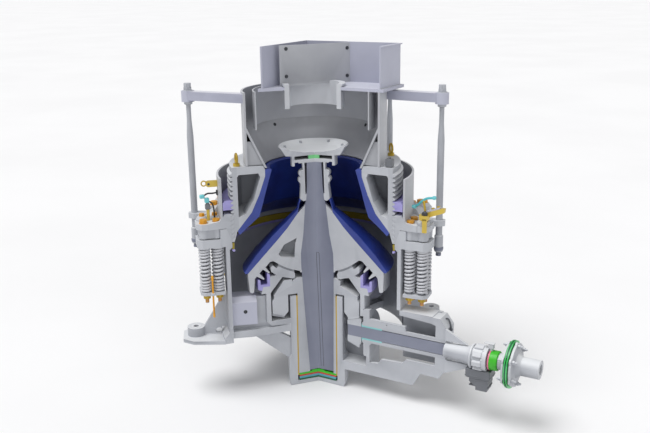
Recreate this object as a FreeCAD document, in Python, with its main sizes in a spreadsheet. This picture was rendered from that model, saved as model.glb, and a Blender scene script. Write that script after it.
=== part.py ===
"""Cone crusher with a wedge taken out of it, so that its sections show how it works inside.

The origin is on the main axis, level with the underside of the feet. +Z is up and +X runs out along the drive
shaft. The wedge is open from the angle -wedge_angle round to the XZ plane on the +X side. Sizes are in millimetres.
"""
import FreeCAD, Part
import math
import os
import Sketcher

UP = FreeCAD.Vector(0, 0, 1)
ALONG_X = FreeCAD.Vector(1, 0, 0)
ALONG_Y = FreeCAD.Vector(0, 1, 0)

document = FreeCAD.newDocument("ConeCrusher")
sheet = document.addObject("Spreadsheet::Sheet", "Sizes")
nodes = []


class Size:
    """A number that also keeps the sheet formula it comes from."""

    def __init__(self, text, value):
        self.text = text
        self.value = float(value)

    def combined(self, other, sign, value, swapped=False):
        """Join this size with another size or a plain number."""
        text = other.text if isinstance(other, Size) else repr(float(other))
        first, second = (text, self.text) if swapped else (self.text, text)
        return Size("(%s %s %s)" % (first, sign, second), value)

    def __add__(self, other):
        return self.combined(other, "+", self.value + number(other))

    def __radd__(self, other):
        return self.combined(other, "+", self.value + number(other), True)

    def __sub__(self, other):
        return self.combined(other, "-", self.value - number(other))

    def __rsub__(self, other):
        return self.combined(other, "-", number(other) - self.value, True)

    def __mul__(self, other):
        return self.combined(other, "*", self.value * number(other))

    def __rmul__(self, other):
        return self.combined(other, "*", self.value * number(other), True)

    def __truediv__(self, other):
        return self.combined(other, "/", self.value / number(other))

    def __rtruediv__(self, other):
        return self.combined(other, "/", number(other) / self.value, True)

    def __neg__(self):
        return self * -1.0


def number(value):
    """Plain number behind a size."""
    return value.value if isinstance(value, Size) else float(value)


def root(value):
    """Square root of a size."""
    return Size("sqrt(%s)" % value.text, math.sqrt(value.value))


def sine(angle):
    """Sine of an angle in degrees."""
    return Size("sin(%s)" % angle.text, math.sin(math.radians(angle.value)))


def cosine(angle):
    """Cosine of an angle in degrees."""
    return Size("cos(%s)" % angle.text, math.cos(math.radians(angle.value)))


def size(alias, value):
    """Write one driving size into the sheet and return it."""
    size.row += 1
    sheet.set("A%d" % size.row, alias)
    sheet.set("B%d" % size.row, str(value))
    sheet.setAlias("B%d" % size.row, alias)
    return Size("Sizes." + alias, value)


size.row = 0


def bind(item, path, value):
    """Tie one property to its size."""
    if isinstance(value, Size):
        item.setExpression(path, value.text)


def place(item, along=0.0, across=0.0, height=0.0, axis=None, angle=0.0):
    """Set where a piece stands and how it is turned about an axis through that place."""
    axis = axis or UP
    item.Placement = FreeCAD.Placement(
        FreeCAD.Vector(number(along), number(across), number(height)), FreeCAD.Rotation(axis, number(angle)))
    bind(item, "Placement.Base.x", along)
    bind(item, "Placement.Base.y", across)
    bind(item, "Placement.Base.z", height)
    bind(item, "Placement.Rotation.Angle", angle)
    return item


def node(item, label):
    """Name a finished piece, which is written out under that name."""
    item.Label = label
    nodes.append(item)
    return item


def plane(body, role):
    """Origin plane of a body, found by its role."""
    for feature in body.Origin.OriginFeatures:
        if feature.Role == role:
            return feature
    raise ValueError(role)


def new_body(name):
    """Start an empty body."""
    return document.addObject("PartDesign::Body", name)


def new_sketch(body, role="XZ_Plane", offset=0.0, turn=0.0, swing=False):
    """Attach a sketch to one of the body's own origin planes, moved off it and turned in it.

    With swing the turn is about the sketch's own upright instead, which carries its plane round the body's axis.
    """
    sketch = body.newObject("Sketcher::SketchObject", body.Name + "_outline")
    sketch.AttachmentSupport = (plane(body, role), [""])
    sketch.MapMode = "FlatFace"
    sketch.AttachmentOffset = FreeCAD.Placement(
        FreeCAD.Vector(0, 0, number(offset)), FreeCAD.Rotation(ALONG_Y if swing else UP, number(turn)))
    bind(sketch, "AttachmentOffset.Base.z", offset)
    bind(sketch, "AttachmentOffset.Rotation.Angle", turn)
    return sketch


def fix_point(sketch, geometry, position, point):
    """Tie a point of the sketch to its two sizes."""
    for kind, value in (("DistanceX", point[0]), ("DistanceY", point[1])):
        index = sketch.addConstraint(Sketcher.Constraint(kind, -1, 1, geometry, position, number(value)))
        bind(sketch, "Constraints[%d]" % index, value)


def vector(point):
    """Sketch vector of a pair of sizes."""
    return FreeCAD.Vector(number(point[0]), number(point[1]), 0)


def bulged(start, end, radius):
    """Arc from start to end whose centre lies to the left of the way there."""
    chord = end - start
    middle = (start + end) * 0.5
    height = math.sqrt(max(radius * radius - chord.Length * chord.Length / 4.0, 0.0))
    left = FreeCAD.Vector(-chord.y, chord.x, 0).normalize()
    centre = middle + left * height
    outward = (middle - centre).normalize() * radius
    return Part.Arc(start, centre + outward, end)


def outline(sketch, points):
    """Closed outline through points, each an (x, y) pair of sizes with what the way to the next point is.

    A third entry is a pair (radius, side): the way to the next point is then an arc of that radius, with its
    centre to the left (side 1) or to the right (side -1) of that way.
    """
    count = len(points)
    corners = [vector(point) for point in points]
    edges = []
    for index, point in enumerate(points):
        start = corners[index]
        end = corners[(index + 1) % count]
        if len(point) > 2:
            radius, side = point[2]
            if side > 0:
                geometry = sketch.addGeometry(bulged(start, end, number(radius)), False)
                edges.append((geometry, 1, 2))
            else:
                geometry = sketch.addGeometry(bulged(end, start, number(radius)), False)
                edges.append((geometry, 2, 1))
            bound = sketch.addConstraint(Sketcher.Constraint("Radius", geometry, number(radius)))
            bind(sketch, "Constraints[%d]" % bound, radius)
        else:
            edges.append((sketch.addGeometry(Part.LineSegment(start, end), False), 1, 2))
    for index, point in enumerate(points):
        before = edges[index - 1]
        here = edges[index]
        sketch.addConstraint(Sketcher.Constraint("Coincident", before[0], before[2], here[0], here[1]))
        fix_point(sketch, here[0], here[1], point)


def circle(sketch, along, across, radius):
    """Circle bound to its centre and radius."""
    centre = vector((along, across))
    geometry = sketch.addGeometry(Part.Circle(centre, FreeCAD.Vector(0, 0, 1), number(radius)), False)
    bound = sketch.addConstraint(Sketcher.Constraint("Radius", geometry, number(radius)))
    bind(sketch, "Constraints[%d]" % bound, radius)
    fix_point(sketch, geometry, 3, (along, across))


def revolved(name, points, angle, holes=()):
    """Body turned about its Z axis from an outline in its XZ plane, counter-clockwise from that plane."""
    body = new_body(name)
    sketch = new_sketch(body)
    outline(sketch, points)
    for hole in holes:
        outline(sketch, hole)
    turn = body.newObject("PartDesign::Revolution", name + "_turn")
    turn.Profile = sketch
    turn.ReferenceAxis = (sketch, ["V_Axis"])
    turn.Angle = number(angle)
    bind(turn, "Angle", angle)
    sketch.Visibility = False
    return body


def padded(body, sketch, length, middle=False, reverse=False):
    """Thicken a sketch."""
    pad = body.newObject("PartDesign::Pad", body.Name + "_pad")
    pad.Profile = sketch
    pad.Length = number(length)
    bind(pad, "Length", length)
    pad.Midplane = middle
    pad.Reversed = reverse
    return pad


def pocketed(body, sketch, through_all=True, length=None, middle=False, reverse=False):
    """Cut a sketch out of its body, and make sure that it did cut."""
    document.recompute()
    before = body.Shape.Volume
    pocket = body.newObject("PartDesign::Pocket", body.Name + "_pocket")
    pocket.Profile = sketch
    pocket.Midplane = middle
    pocket.Reversed = reverse
    if through_all:
        pocket.Type = 1
    else:
        pocket.Length = number(length)
        bind(pocket, "Length", length)
    document.recompute()
    if body.Shape.Volume >= before - 1.0:
        raise RuntimeError("pocket cuts nothing: " + body.Name)
    return pocket


def plate(name, points, thickness, role="XY_Plane", middle=False, reverse=False):
    """Body made by thickening one outline."""
    body = new_body(name)
    sketch = new_sketch(body, role)
    outline(sketch, points)
    padded(body, sketch, thickness, middle, reverse)
    return body


def rectangle(low_x, low_y, high_x, high_y):
    """Corners of a rectangle."""
    return [(low_x, low_y), (high_x, low_y), (high_x, high_y), (low_x, high_y)]


def cut(name, base, tool):
    """Take one piece out of another."""
    result = document.addObject("Part::Cut", name)
    result.Base = base
    result.Tool = tool
    return result


def common(name, base, tool):
    """Keep what two pieces share."""
    result = document.addObject("Part::Common", name)
    result.Base = base
    result.Tool = tool
    return result


def fused(name, pieces):
    """Join pieces of one casting."""
    result = document.addObject("Part::MultiFuse", name)
    result.Shapes = pieces
    result.Refine = True
    return result


def cylinder(name, radius, length, angle=None):
    """Plain cylinder, or a slice of one."""
    item = document.addObject("Part::Cylinder", name)
    item.Radius = number(radius)
    bind(item, "Radius", radius)
    item.Height = number(length)
    bind(item, "Height", length)
    if angle is not None:
        item.Angle = number(angle)
        bind(item, "Angle", angle)
    return item


def box(name, long_x, long_y, long_z):
    """Plain box."""
    item = document.addObject("Part::Box", name)
    item.Length = number(long_x)
    bind(item, "Length", long_x)
    item.Width = number(long_y)
    bind(item, "Width", long_y)
    item.Height = number(long_z)
    bind(item, "Height", long_z)
    return item


def opened(name, item):
    """Take the wedge out of a piece."""
    return cut(name, item, wedge)


def halved(name, item):
    """Take the front half off a piece on the drive axis, as far out as its section runs."""
    return cut(name, item, front_half)


def polar(body, features, count, span):
    """Repeat features about the body's Z axis over an angle."""
    pattern = body.newObject("PartDesign::PolarPattern", body.Name + "_pattern")
    pattern.Originals = features
    pattern.Axis = (plane(body, "Z_Axis"), [""])
    pattern.Angle = number(span)
    bind(pattern, "Angle", span)
    pattern.Occurrences = int(round(number(count)))
    bind(pattern, "Occurrences", count)
    body.Tip = pattern
    return pattern


def grooved(body, points, angle, start=0.0):
    """Cut an outline out of a turned body, through an angle to both sides of its plane."""
    sketch = new_sketch(body, "XZ_Plane", 0.0, start, True)
    outline(sketch, points)
    groove = body.newObject("PartDesign::Groove", body.Name + "_groove")
    groove.Profile = sketch
    groove.ReferenceAxis = (sketch, ["V_Axis"])
    groove.Midplane = True
    groove.Angle = number(angle)
    bind(groove, "Angle", angle)
    sketch.Visibility = False
    return groove


def spun(name, points):
    """Piece turned about the drive axis from pairs of radius and distance along it."""
    return place(revolved(name, points, 360.0), 0, 0, drive_height, ALONG_Y, 90.0)


def leaning(name, points):
    """Piece turned about the head's own axis, with its heights as they are in the machine."""
    lowered = [tuple([point[0], point[1] - pivot_height]) + tuple(point[2:]) for point in points]
    return tilted(revolved(name, lowered, 360.0))


def compound(name, pieces):
    """Keep like pieces together under one name."""
    result = document.addObject("Part::Compound", name)
    result.Links = pieces
    return result


def on_circle(radius, angle):
    """Point at a radius and an angle in degrees."""
    return radius * cosine(angle), radius * sine(angle)


# Whole machine
ground = size("ground_height", 0)
wedge_angle = size("wedge_angle", 130)
section_angle = 360.0 - wedge_angle
reach = size("cutter_reach", 4000)
depth_below = size("cutter_depth", 1500)
seat_gap = size("seat_clearance", 0.35)
turn_gap = size("turning_clearance", 0.8)
weld_root = size("weld_root", 6)

# Main frame shell
thread_crest = size("thread_crest_radius", 1062)
seat_low_radius = thread_crest + size("ring_foot_wall", 4)
shell_bore = seat_low_radius + size("seat_ledge_width", 34)
shell_wall = size("shell_wall", 46)
shell_top = size("shell_top_height", 1235)
foot_ring_width = size("foot_ring_width", 62)
foot_ring_depth = size("foot_ring_depth", 70)
seat_low = size("seat_low_height", 1292)
seat_high_radius = seat_low_radius + size("seat_slope_width", 60)
frame_top = size("frame_top_height", 1470)
frame_flange_radius = seat_high_radius + size("frame_flange_wall", 79)
frame_flange_depth = size("frame_flange_depth", 220)

# Hub, its gear well and the bushing in it
hub_bore = size("hub_bore_radius", 280)
hub_wall = size("hub_wall", 78)
hub_top = size("hub_top_height", 505)
hub_bottom = size("hub_bottom_height", -672)
hub_foot_wall = size("hub_foot_wall", 106)
hub_foot_top = size("hub_foot_top_height", -330)
well_floor = size("well_floor_height", 206)
well_floor_wall = size("well_floor_wall", 60)
well_bore = size("well_bore_radius", 608)
well_wall = size("well_wall", 58)
well_top = size("well_top_height", 585)
bushing_wall = size("bushing_wall", 17)
bushing_bottom = size("bushing_bottom_height", -588)
cover_depth = size("bottom_cover_depth", 42)
step_top = size("step_bearing_height", -590)
red_depth = size("red_plate_depth", 21)
cyan_depth = size("cyan_plate_depth", 29)
dark_depth = size("dark_plate_depth", 24)
step_radius = size("step_bearing_radius", 258)

# Arms, guards and feet
arm_first = size("first_arm_angle", 74)
arm_pitch = size("arm_pitch_angle", 73)
arm_width = size("arm_width", 130)
arm_flange_bottom = size("arm_flange_bottom_height", 40)
arm_flange_top = size("arm_flange_top_height", 128)
arm_flange_width = size("arm_flange_width", 300)
arm_rib_width = size("arm_rib_width", 70)
arm_rib_reach = size("arm_rib_reach", 852)
arm_rib_gap = size("arm_rib_gap_radius", 533)
arm_rib_bottom = size("arm_rib_bottom_height", -340)
guard_wall = size("guard_wall", 22)
guard_inner = size("guard_inner_radius", 780)
guard_outer = size("guard_outer_radius", 1083)
guard_bottom = size("guard_bottom_height", 210)
guard_side = size("guard_side_height", 500)
foot_first = size("first_foot_angle", 43)
foot_pitch = size("foot_pitch_angle", 87)
foot_depth = size("foot_plate_depth", 45)
foot_reach = size("foot_reach", 1690)
foot_root_half = size("foot_root_half_width", 290)
foot_tip_half = size("foot_tip_half_width", 130)
boss_radius = size("foot_boss_radius", 108)
boss_place = size("anchor_circle_radius", 1530)
boss_top = size("foot_boss_height", 155)
anchor_hole = size("anchor_hole_radius", 32)
gusset_width = size("foot_gusset_width", 50)
gusset_top = size("foot_gusset_height", 560)

# Springs and the ears that they press on
group_count = size("spring_group_count", 7)
group_first = size("first_group_angle", 7)
group_pitch = size("group_pitch_angle", 36)
group_span = group_pitch * (group_count - 1.0)
ear_bottom = size("frame_ear_height", 1250)
ear_depth = size("frame_ear_depth", 100)
ear_corner = size("ear_corner", 60)
coil_radius = size("coil_outer_radius", 68)
spring_half_pitch = coil_radius + size("spring_side_gap", 8)
spring_inner_radius = shell_bore + shell_wall + coil_radius + size("spring_shell_gap", 18)
spring_outer_radius = spring_inner_radius + coil_radius * 2.0 + size("spring_row_gap", 17)
ear_reach = spring_outer_radius + size("ear_edge_margin", 87)
ear_half_width = spring_half_pitch + size("ear_side_margin", 80)
coil_wire = size("coil_wire", 30)
spring_bottom = size("spring_bottom_height", 690)
bolt_radius = size("spring_bolt_radius", 22)
bolt_clearance = size("bolt_hole_clearance", 8)
nut_radius = size("spring_nut_radius", 40)
nut_depth = size("spring_nut_depth", 46)
bolt_end = size("spring_bolt_end_height", 545)
keeper_depth = size("spring_plate_depth", 40)

# Head pivot and how far the shaft leans
pivot_height = size("pivot_height", 1674)
lean = size("lean_angle", 1.56)

# Drive shaft, its box and housing
drive_height = size("drive_height", 90)
drive_radius = size("drive_radius", 72)
drive_start = size("drive_start", 436)
drive_section_end = size("drive_section_end", 1735)
drive_end = size("drive_end", 2504)
box_half_width = size("box_half_width", 230)
box_side_wall = size("box_side_wall", 40)
box_top = size("box_top_height", 474)
box_end = size("box_end", 1604)
window_reach = size("shell_window_length", 200)
window_margin = size("shell_window_margin", 20)
chamber_end = size("pinion_chamber_end", 690)
chamber_half_width = size("pinion_chamber_half_width", 240)
chamber_top = size("pinion_chamber_height", 305)
chamber_floor = size("pinion_chamber_floor", -353)
chamber_wall = size("pinion_chamber_wall", 45)
base_bottom = size("base_bottom_height", -468)
web_half = size("base_web_half_width", 45)
sleeve_radius = size("bushing_outer_radius", 93)
sleeve_start = size("bushing_start", 628)
sleeve_end = size("bushing_end", 905)
tube_radius = size("housing_tube_radius", 125)
flange_start = size("housing_flange_start", 650)
flange_end = size("housing_flange_end", 735)
flange_radius = size("housing_flange_radius", 312)
boss_start_radius = size("end_boss_start_radius", 88)
boss_end_radius = size("end_boss_end_radius", 112)
boss_end = size("end_boss_end", 2055)
pad_top = size("housing_pad_height", 284)
pad_depth = size("housing_pad_depth", 44)

# Guards and gussets
guard_top = size("guard_top_height", 565)
guard_slope = size("guard_slope_width", 60)
arm_top = guard_top - guard_wall
gusset_window = size("gusset_window_radius", 40)
rib_depth = size("boss_rib_depth", 36)

# Step bearing, eccentric and its weight
green_depth = size("green_plate_depth", 28)
green_pad_radius = size("green_pad_radius", 86)
gear_bore = size("gear_bore_radius", 386)
gear_top = size("gear_top_height", 499)
gear_seat = size("gear_seat_radius", 566)
weight_bore = size("weight_bore_radius", 330)
weight_top = size("weight_top_height", 724)
weight_angle = size("weight_angle", 175)

# Bevel teeth
pinion_teeth = size("pinion_tooth_count", 17)
gear_teeth = size("gear_tooth_count", 51)
tooth_outer = size("tooth_outer_radius", 590)
tooth_inner = size("tooth_inner_radius", 436)
addendum = size("addendum", 19)
dedendum = size("dedendum", 23.2)
tooth_root = size("tooth_root", 8)
backlash = size("backlash", 3)
pressure_angle = size("pressure_angle", 20)
pinion_hub_radius = size("pinion_hub_radius", 150)
pinion_end = size("pinion_end", 621)
tooth_pitch = tooth_outer * 2.0 * math.pi / gear_teeth
pinion_pitch_radius = tooth_outer * pinion_teeth / gear_teeth

# Socket and seal
head_sphere = size("head_sphere_radius", 879.7)
liner_wall = size("socket_liner_wall", 25)
socket_inner = size("socket_inner_radius", 300)
socket_liner_end = size("socket_liner_end_radius", 500)
seal_radius = size("seal_inner_radius", 613)
seal_wall = size("seal_wall", 34)
seal_channel = size("seal_channel", 86)

# Shaft and head
shaft_bottom = size("shaft_bottom_height", -540)
shaft_low_radius = size("shaft_low_radius", 161)
shaft_top_taper_radius = size("shaft_shoulder_radius", 219)
shaft_taper_top = size("shaft_shoulder_height", 885)
head_bore_radius = size("head_bore_radius", 218)
neck_radius = size("neck_radius", 139)
neck_height = size("neck_height", 1668)
shaft_top = size("shaft_top_height", 2186)
nut_seat_radius = size("nut_seat_radius", 122)
nut_seat_height = size("nut_seat_height", 1720)
nut_thread_radius = size("nut_thread_radius", 105)
nut_thread_height = size("nut_thread_height", 1889)
head_ball_start = size("head_ball_start_radius", 240)
head_ball_end = size("head_ball_end_radius", 545)
skirt_bottom = size("skirt_bottom_height", 628)
skirt_inner = size("skirt_inner_radius", 838)
skirt_outer = size("skirt_outer_radius", 902)
mantle_foot = size("mantle_foot_height", 890)
mantle_foot_radius = size("mantle_foot_radius", 900)
mantle_radius = size("mantle_radius", 941)
cavity_angle = size("head_cavity_angle", 64)
cavity_first = size("head_cavity_first_angle", 50)
dish_wall_radius = size("dish_wall_radius", 250)
clamp_radius = size("feed_clamp_radius", 72)
dish_radius = size("feed_plate_radius", 424)

# Bowl, its ring and their teeth
thread_depth = size("thread_depth", 31)
thread_pitch = size("thread_pitch", 56)
thread_gap = size("thread_clearance", 1.6)
tooth_rise = size("thread_underside_rise", 10)
tooth_land = size("thread_land_height", 24)
tooth_width = size("thread_tooth_width", 46)
thread_start = size("thread_start_height", 1312)
ring_teeth = 6
bowl_teeth = 15
clamp_tooth = 7
ring_bottom = size("ring_bottom_height", 1300)
ring_flange_bottom = size("ring_flange_height", 1476)
ring_top = size("ring_top_height", 1648)
ring_ear_depth = size("ring_ear_depth", 70)
cone_foot_radius = frame_flange_radius + size("ring_cone_foot_step", 2)
ring_flange_radius = cone_foot_radius + size("ring_flange_width", 133)
cone_top_radius = cone_foot_radius - size("ring_cone_width", 61)
bowl_top = size("bowl_top_height", 2204)
bowl_cell_angle = size("bowl_cell_angle", 38)
cell_radius = thread_crest - size("bowl_cell_edge", 89)
bowl_cells = 5
bowl_cell_pitch = size("bowl_cell_pitch_angle", 48)
dust_radius = cone_top_radius + size("dust_cover_step", 20)
clamp_ring_radius = dust_radius - size("clamp_ring_gap", 6)
jack_place = clamp_ring_radius - size("jack_edge_distance", 40)
jack_radius = size("jack_radius", 30)
jack_count = size("jack_count", 14)
jack_pitch = size("jack_pitch_angle", 16)
dust_wall = size("dust_cover_wall", 24)
dust_top = size("dust_cover_height", 2090)

# Hopper
hopper_bore = size("hopper_bore_radius", 838)
hopper_wall = size("hopper_wall", 24)
skirt_bore = size("hopper_skirt_radius", 712)
skirt_wall = size("hopper_skirt_wall", 14)
skirt_low = size("hopper_skirt_height", 2624)
cover_low = size("cover_plate_height", 3065)
cover_plate_depth = size("cover_plate_depth", 35)
cover_left = size("cover_plate_left", -440)
cover_right = size("cover_plate_right", 905)
cover_back = size("cover_plate_half_width", 565)
box_margin = size("feed_box_margin", 26)
feed_wall = size("feed_box_wall", 12)
feed_box_top = size("feed_box_height", 3578)
feed_ring_bore = size("feed_ring_bore_radius", 304)
feed_ring_radius = size("feed_ring_radius", 361)
feed_ring_low = size("feed_ring_bottom_height", 2845)
feed_ring_high = size("feed_ring_top_height", 3134)

# Tie rods and their arms
rod_first = size("first_rod_angle", 15.5)
rod_pitch = size("rod_pitch_angle", 63.333)
rod_circle = ear_reach + size("rod_ear_distance", 38)
rod_radius = size("rod_radius", 36)
rod_step = size("rod_shoulder_step", 4)
rod_sleeve = size("rod_sleeve_radius", 52)
rod_bottom = size("rod_bottom_height", 1100)
rod_top = size("rod_top_height", 3140)
lug_half = size("rod_lug_half_width", 70)
beam_length = size("hopper_arm_length", 900)
beam_width = size("hopper_arm_width", 130)
beam_depth = size("hopper_arm_depth", 105)
beam_low = size("hopper_arm_height", 2940)
block_radius = size("rod_block_radius", 78)
block_depth = size("rod_block_depth", 130)
arm_turns = [180.0, 258.8, 322.2, 5.3]

# Eyebolts
eye_circle = size("eyebolt_circle_radius", 960)
eye_first = size("first_eyebolt_angle", 43)
eye_pitch = size("eyebolt_pitch_angle", 91.5)
eye_base_radius = size("eyebolt_base_radius", 40)
eye_base_depth = size("eyebolt_base_depth", 34)
eye_ring_radius = size("eyebolt_ring_radius", 56)
eye_ring_wire = size("eyebolt_wire_radius", 13)

# Outer end of the drive
seal_case_radius = size("seal_case_radius", 128)
seal_case_end = size("seal_case_end", 2266)
sump_step = size("sump_step_height", -190)
sump_bottom = size("sump_bottom_height", -288)
sump_width = size("sump_width", 170)
collar_start = size("collar_start", 2280)
collar_radius = size("collar_radius", 120)
collar_depth = size("collar_depth", 16)
flinger_end = size("flinger_end", 2390)
disc_gap = size("disc_gap", 12)
disc_depth = size("disc_depth", 14)
disc_bore = size("disc_bore_radius", 205)
disc_radius = size("disc_radius", 275)
disc_bolt = size("disc_bolt_radius", 16)
coupling_radius = size("coupling_radius", 250)
coupling_hub_radius = size("coupling_hub_radius", 95)
coupling_bore = size("coupling_bore_radius", 62)
coupling_end = size("coupling_end", 2864)

wedge = cylinder("wedge", reach, reach * 2.0, wedge_angle)
place(wedge, 0, 0, -depth_below, UP, -wedge_angle)
front_half = box("front_half", drive_section_end, reach, reach)
place(front_half, 0, -reach, drive_height - reach / 2.0)


def tilted(item):
    """Stand a piece on the leaning axis of the head, with its origin at the pivot."""
    return place(item, 0, 0, pivot_height, ALONG_Y, -lean)


def ear_outline(root_radius):
    """Outline of one ear, with its outer corners cut off."""
    return [(root_radius, -ear_half_width), (ear_reach - ear_corner, -ear_half_width),
            (ear_reach, -ear_half_width + ear_corner), (ear_reach, ear_half_width - ear_corner),
            (ear_reach - ear_corner, ear_half_width), (root_radius, ear_half_width)]


def spring_places():
    """Where the four springs of a group stand, seen along the radius of the group."""
    return [(radius, spring_half_pitch * side) for radius in (spring_inner_radius, spring_outer_radius)
            for side in (-1.0, 1.0)]


def ear_pieces(label, root_radius, bottom, depth):
    """Ears of a ring round its spring groups, each with its four bolt holes."""
    ears = []
    for index in range(int(number(group_count))):
        name = "%s%d" % (label, index)
        holes = [place(cylinder("%s_hole%d" % (name, count), bolt_radius + bolt_clearance, depth * 2.0),
                       along, across, -depth / 2.0) for count, (along, across) in enumerate(spring_places())]
        ear = cut(name, plate(name + "_blank", ear_outline(root_radius), depth), compound(name + "_holes", holes))
        ears.append(place(ear, 0, 0, bottom, UP, group_first + group_pitch * float(index)))
    return ears


def with_bolt_holes(body, bottom, top):
    """Bore a flange for the inner row of spring bolts, and face it for their nuts."""
    hole_sketch = new_sketch(body, "XY_Plane", bottom, group_first)
    face_sketch = new_sketch(body, "XY_Plane", top, group_first)
    for side in (-1.0, 1.0):
        circle(hole_sketch, spring_inner_radius, spring_half_pitch * side, bolt_radius + bolt_clearance)
        circle(face_sketch, spring_inner_radius, spring_half_pitch * side, nut_radius + bolt_clearance)
    features = [pocketed(body, hole_sketch, False, top - bottom, reverse=True),
                pocketed(body, face_sketch, False, top - bottom, reverse=True)]
    polar(body, features, group_count, group_span)
    return body


def rod_places():
    """Where the tie rods stand."""
    return [on_circle(rod_circle, rod_first + rod_pitch * float(index)) for index in range(len(arm_turns))]


def rod_rooms(label, radius, low, depth):
    """Upright holes for all the tie rods."""
    return compound(label, [place(cylinder("%s%d" % (label, index), radius, depth), along, across, low)
                            for index, (along, across) in enumerate(rod_places())])


def ring_brackets():
    """Ears and rod lugs round the flange of the adjustment ring."""
    lugs = []
    for index in range(len(arm_turns)):
        lug = plate("lug%d" % index, [
            (cone_foot_radius + 20.0, -lug_half), (rod_circle, -lug_half), (rod_circle + lug_half, -lug_half + 40.0),
            (rod_circle + lug_half, lug_half - 40.0), (rod_circle, lug_half), (cone_foot_radius + 20.0, lug_half)],
            ring_ear_depth - 1.0)
        lugs.append(place(lug, 0, 0, ring_flange_bottom + 1.0, UP, rod_first + rod_pitch * float(index)))
    bolt_rooms = []
    for index in range(int(number(group_count))):
        group = [place(cylinder("bolt_room%d_%d" % (index, count), bolt_radius + bolt_clearance, ring_ear_depth * 2.0),
                       along, across, ring_flange_bottom - ring_ear_depth / 2.0)
                 for count, (along, across) in enumerate(spring_places())]
        bolt_rooms.append(place(compound("bolt_rooms%d" % index, group), 0, 0, 0, UP,
                                group_first + group_pitch * float(index)))
    open_lugs = cut("lugs_open", fused("lugs_all", lugs), compound("bolt_rooms", bolt_rooms))
    ears = ear_pieces("ring_ear", cone_foot_radius, ring_flange_bottom, ring_ear_depth)
    flange = place(cylinder("ring_flange_room", ring_flange_radius, reach), 0, 0, ground)
    outside = cut("brackets_outside", fused("brackets_whole", ears + [open_lugs]), flange)
    return cut("brackets_bored", outside, rod_rooms(
        "lug_hole", rod_radius + rod_step + seat_gap, ring_flange_bottom - ring_ear_depth, ring_ear_depth * 4.0))


def frame_shell():
    """Upright ring with its foot ring, conical seat and top flange."""
    outer = shell_bore + shell_wall
    body = revolved("shell_body", [
        (shell_bore, ground), (outer + foot_ring_width, ground),
        (outer + foot_ring_width, foot_ring_depth), (outer, foot_ring_depth * 2.0),
        (outer, frame_top - frame_flange_depth), (frame_flange_radius, frame_top - frame_flange_depth),
        (frame_flange_radius, frame_top), (seat_high_radius, frame_top), (seat_low_radius, seat_low),
        (seat_low_radius, shell_top), (shell_bore, shell_top - 30.0)], section_angle)
    return cut("shell_open", body, place(
        box("shell_window", window_reach, box_half_width, box_top), shell_bore - window_margin, 0, ground))


def spring_brackets():
    """Ears round the frame's flange that the springs press on, notched where the tie rods pass."""
    ears = compound("frame_ears", ear_pieces("frame_ear", shell_bore + shell_wall, ear_bottom, ear_depth))
    flange = place(cylinder("frame_flange_room", frame_flange_radius, reach), 0, 0, ground)
    return cut("frame_ears_notched", cut("frame_ears_outside", ears, flange), rod_rooms(
        "rod_room", rod_sleeve + bolt_clearance, ear_bottom - ear_depth, ear_depth * 3.0))


def frame_hub():
    """Hub tube with the gear well and the way for the pinion."""
    hub_outer = hub_bore + hub_wall
    well_outer = well_bore + well_wall
    body = revolved("hub_body", [
        (hub_bore, hub_bottom), (hub_bore + hub_foot_wall, hub_bottom), (hub_bore + hub_foot_wall, hub_foot_top),
        (hub_outer, hub_foot_top + 40.0), (hub_outer, well_floor - well_floor_wall),
        (well_bore, well_floor - well_floor_wall), (well_outer, well_floor - well_floor_wall + well_wall),
        (well_outer, well_top), (well_bore, well_top), (well_bore, well_floor), (hub_outer, well_floor),
        (hub_outer, hub_top), (hub_bore, hub_top)], section_angle)
    chamber = place(box("well_window", chamber_end - hub_outer, chamber_half_width, chamber_top - chamber_floor),
                    hub_outer, 0, chamber_floor)
    flange_room = place(cylinder("flange_room", flange_radius, flange_end - flange_start), flange_start, 0,
                        drive_height, ALONG_Y, 90.0)
    return cut("hub_open", body, compound("hub_rooms", [chamber, flange_room]))


def arm_space():
    """Room between the hub, its well and the shell, which the arms fill from wall to wall."""
    hub_outer = hub_bore + hub_wall
    well_outer = well_bore + well_wall
    corner = well_floor - well_floor_wall
    return revolved("arm_space", [
        (hub_bore + hub_foot_wall, base_bottom), (shell_bore, base_bottom), (shell_bore, arm_top + 10.0),
        (well_outer, arm_top + 10.0), (well_outer, corner + well_wall), (well_bore, corner),
        (hub_outer, corner), (hub_outer, hub_foot_top + 40.0), (hub_bore + hub_foot_wall, hub_foot_top)], section_angle)


def frame_arm(index, space):
    """Box arm from the hub to the shell, with its bottom flange and the rib below it."""
    label = "arm%d" % index
    web = plate(label + "_web", rectangle(hub_bore, arm_flange_bottom + 1.0, shell_bore + shell_wall, arm_top),
                arm_width, "XZ_Plane", True)
    flange = plate(label + "_flange", rectangle(hub_bore, arm_flange_bottom, shell_bore + shell_wall, arm_flange_top),
                   arm_flange_width, "XZ_Plane", True)
    rib = plate(label + "_rib", [
        (hub_bore, arm_rib_bottom - 80.0), (arm_rib_reach, arm_flange_bottom + 1.0),
        (arm_rib_gap, arm_flange_bottom + 1.0), (hub_bore, arm_flange_bottom - 148.0)],
        arm_rib_width, "XZ_Plane", True)
    whole = fused(label + "_whole", [web, flange, rib])
    place(whole, 0, 0, 0, UP, arm_first + arm_pitch * (index - 1.0))
    return common(label + "_casting", whole, space)


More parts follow.
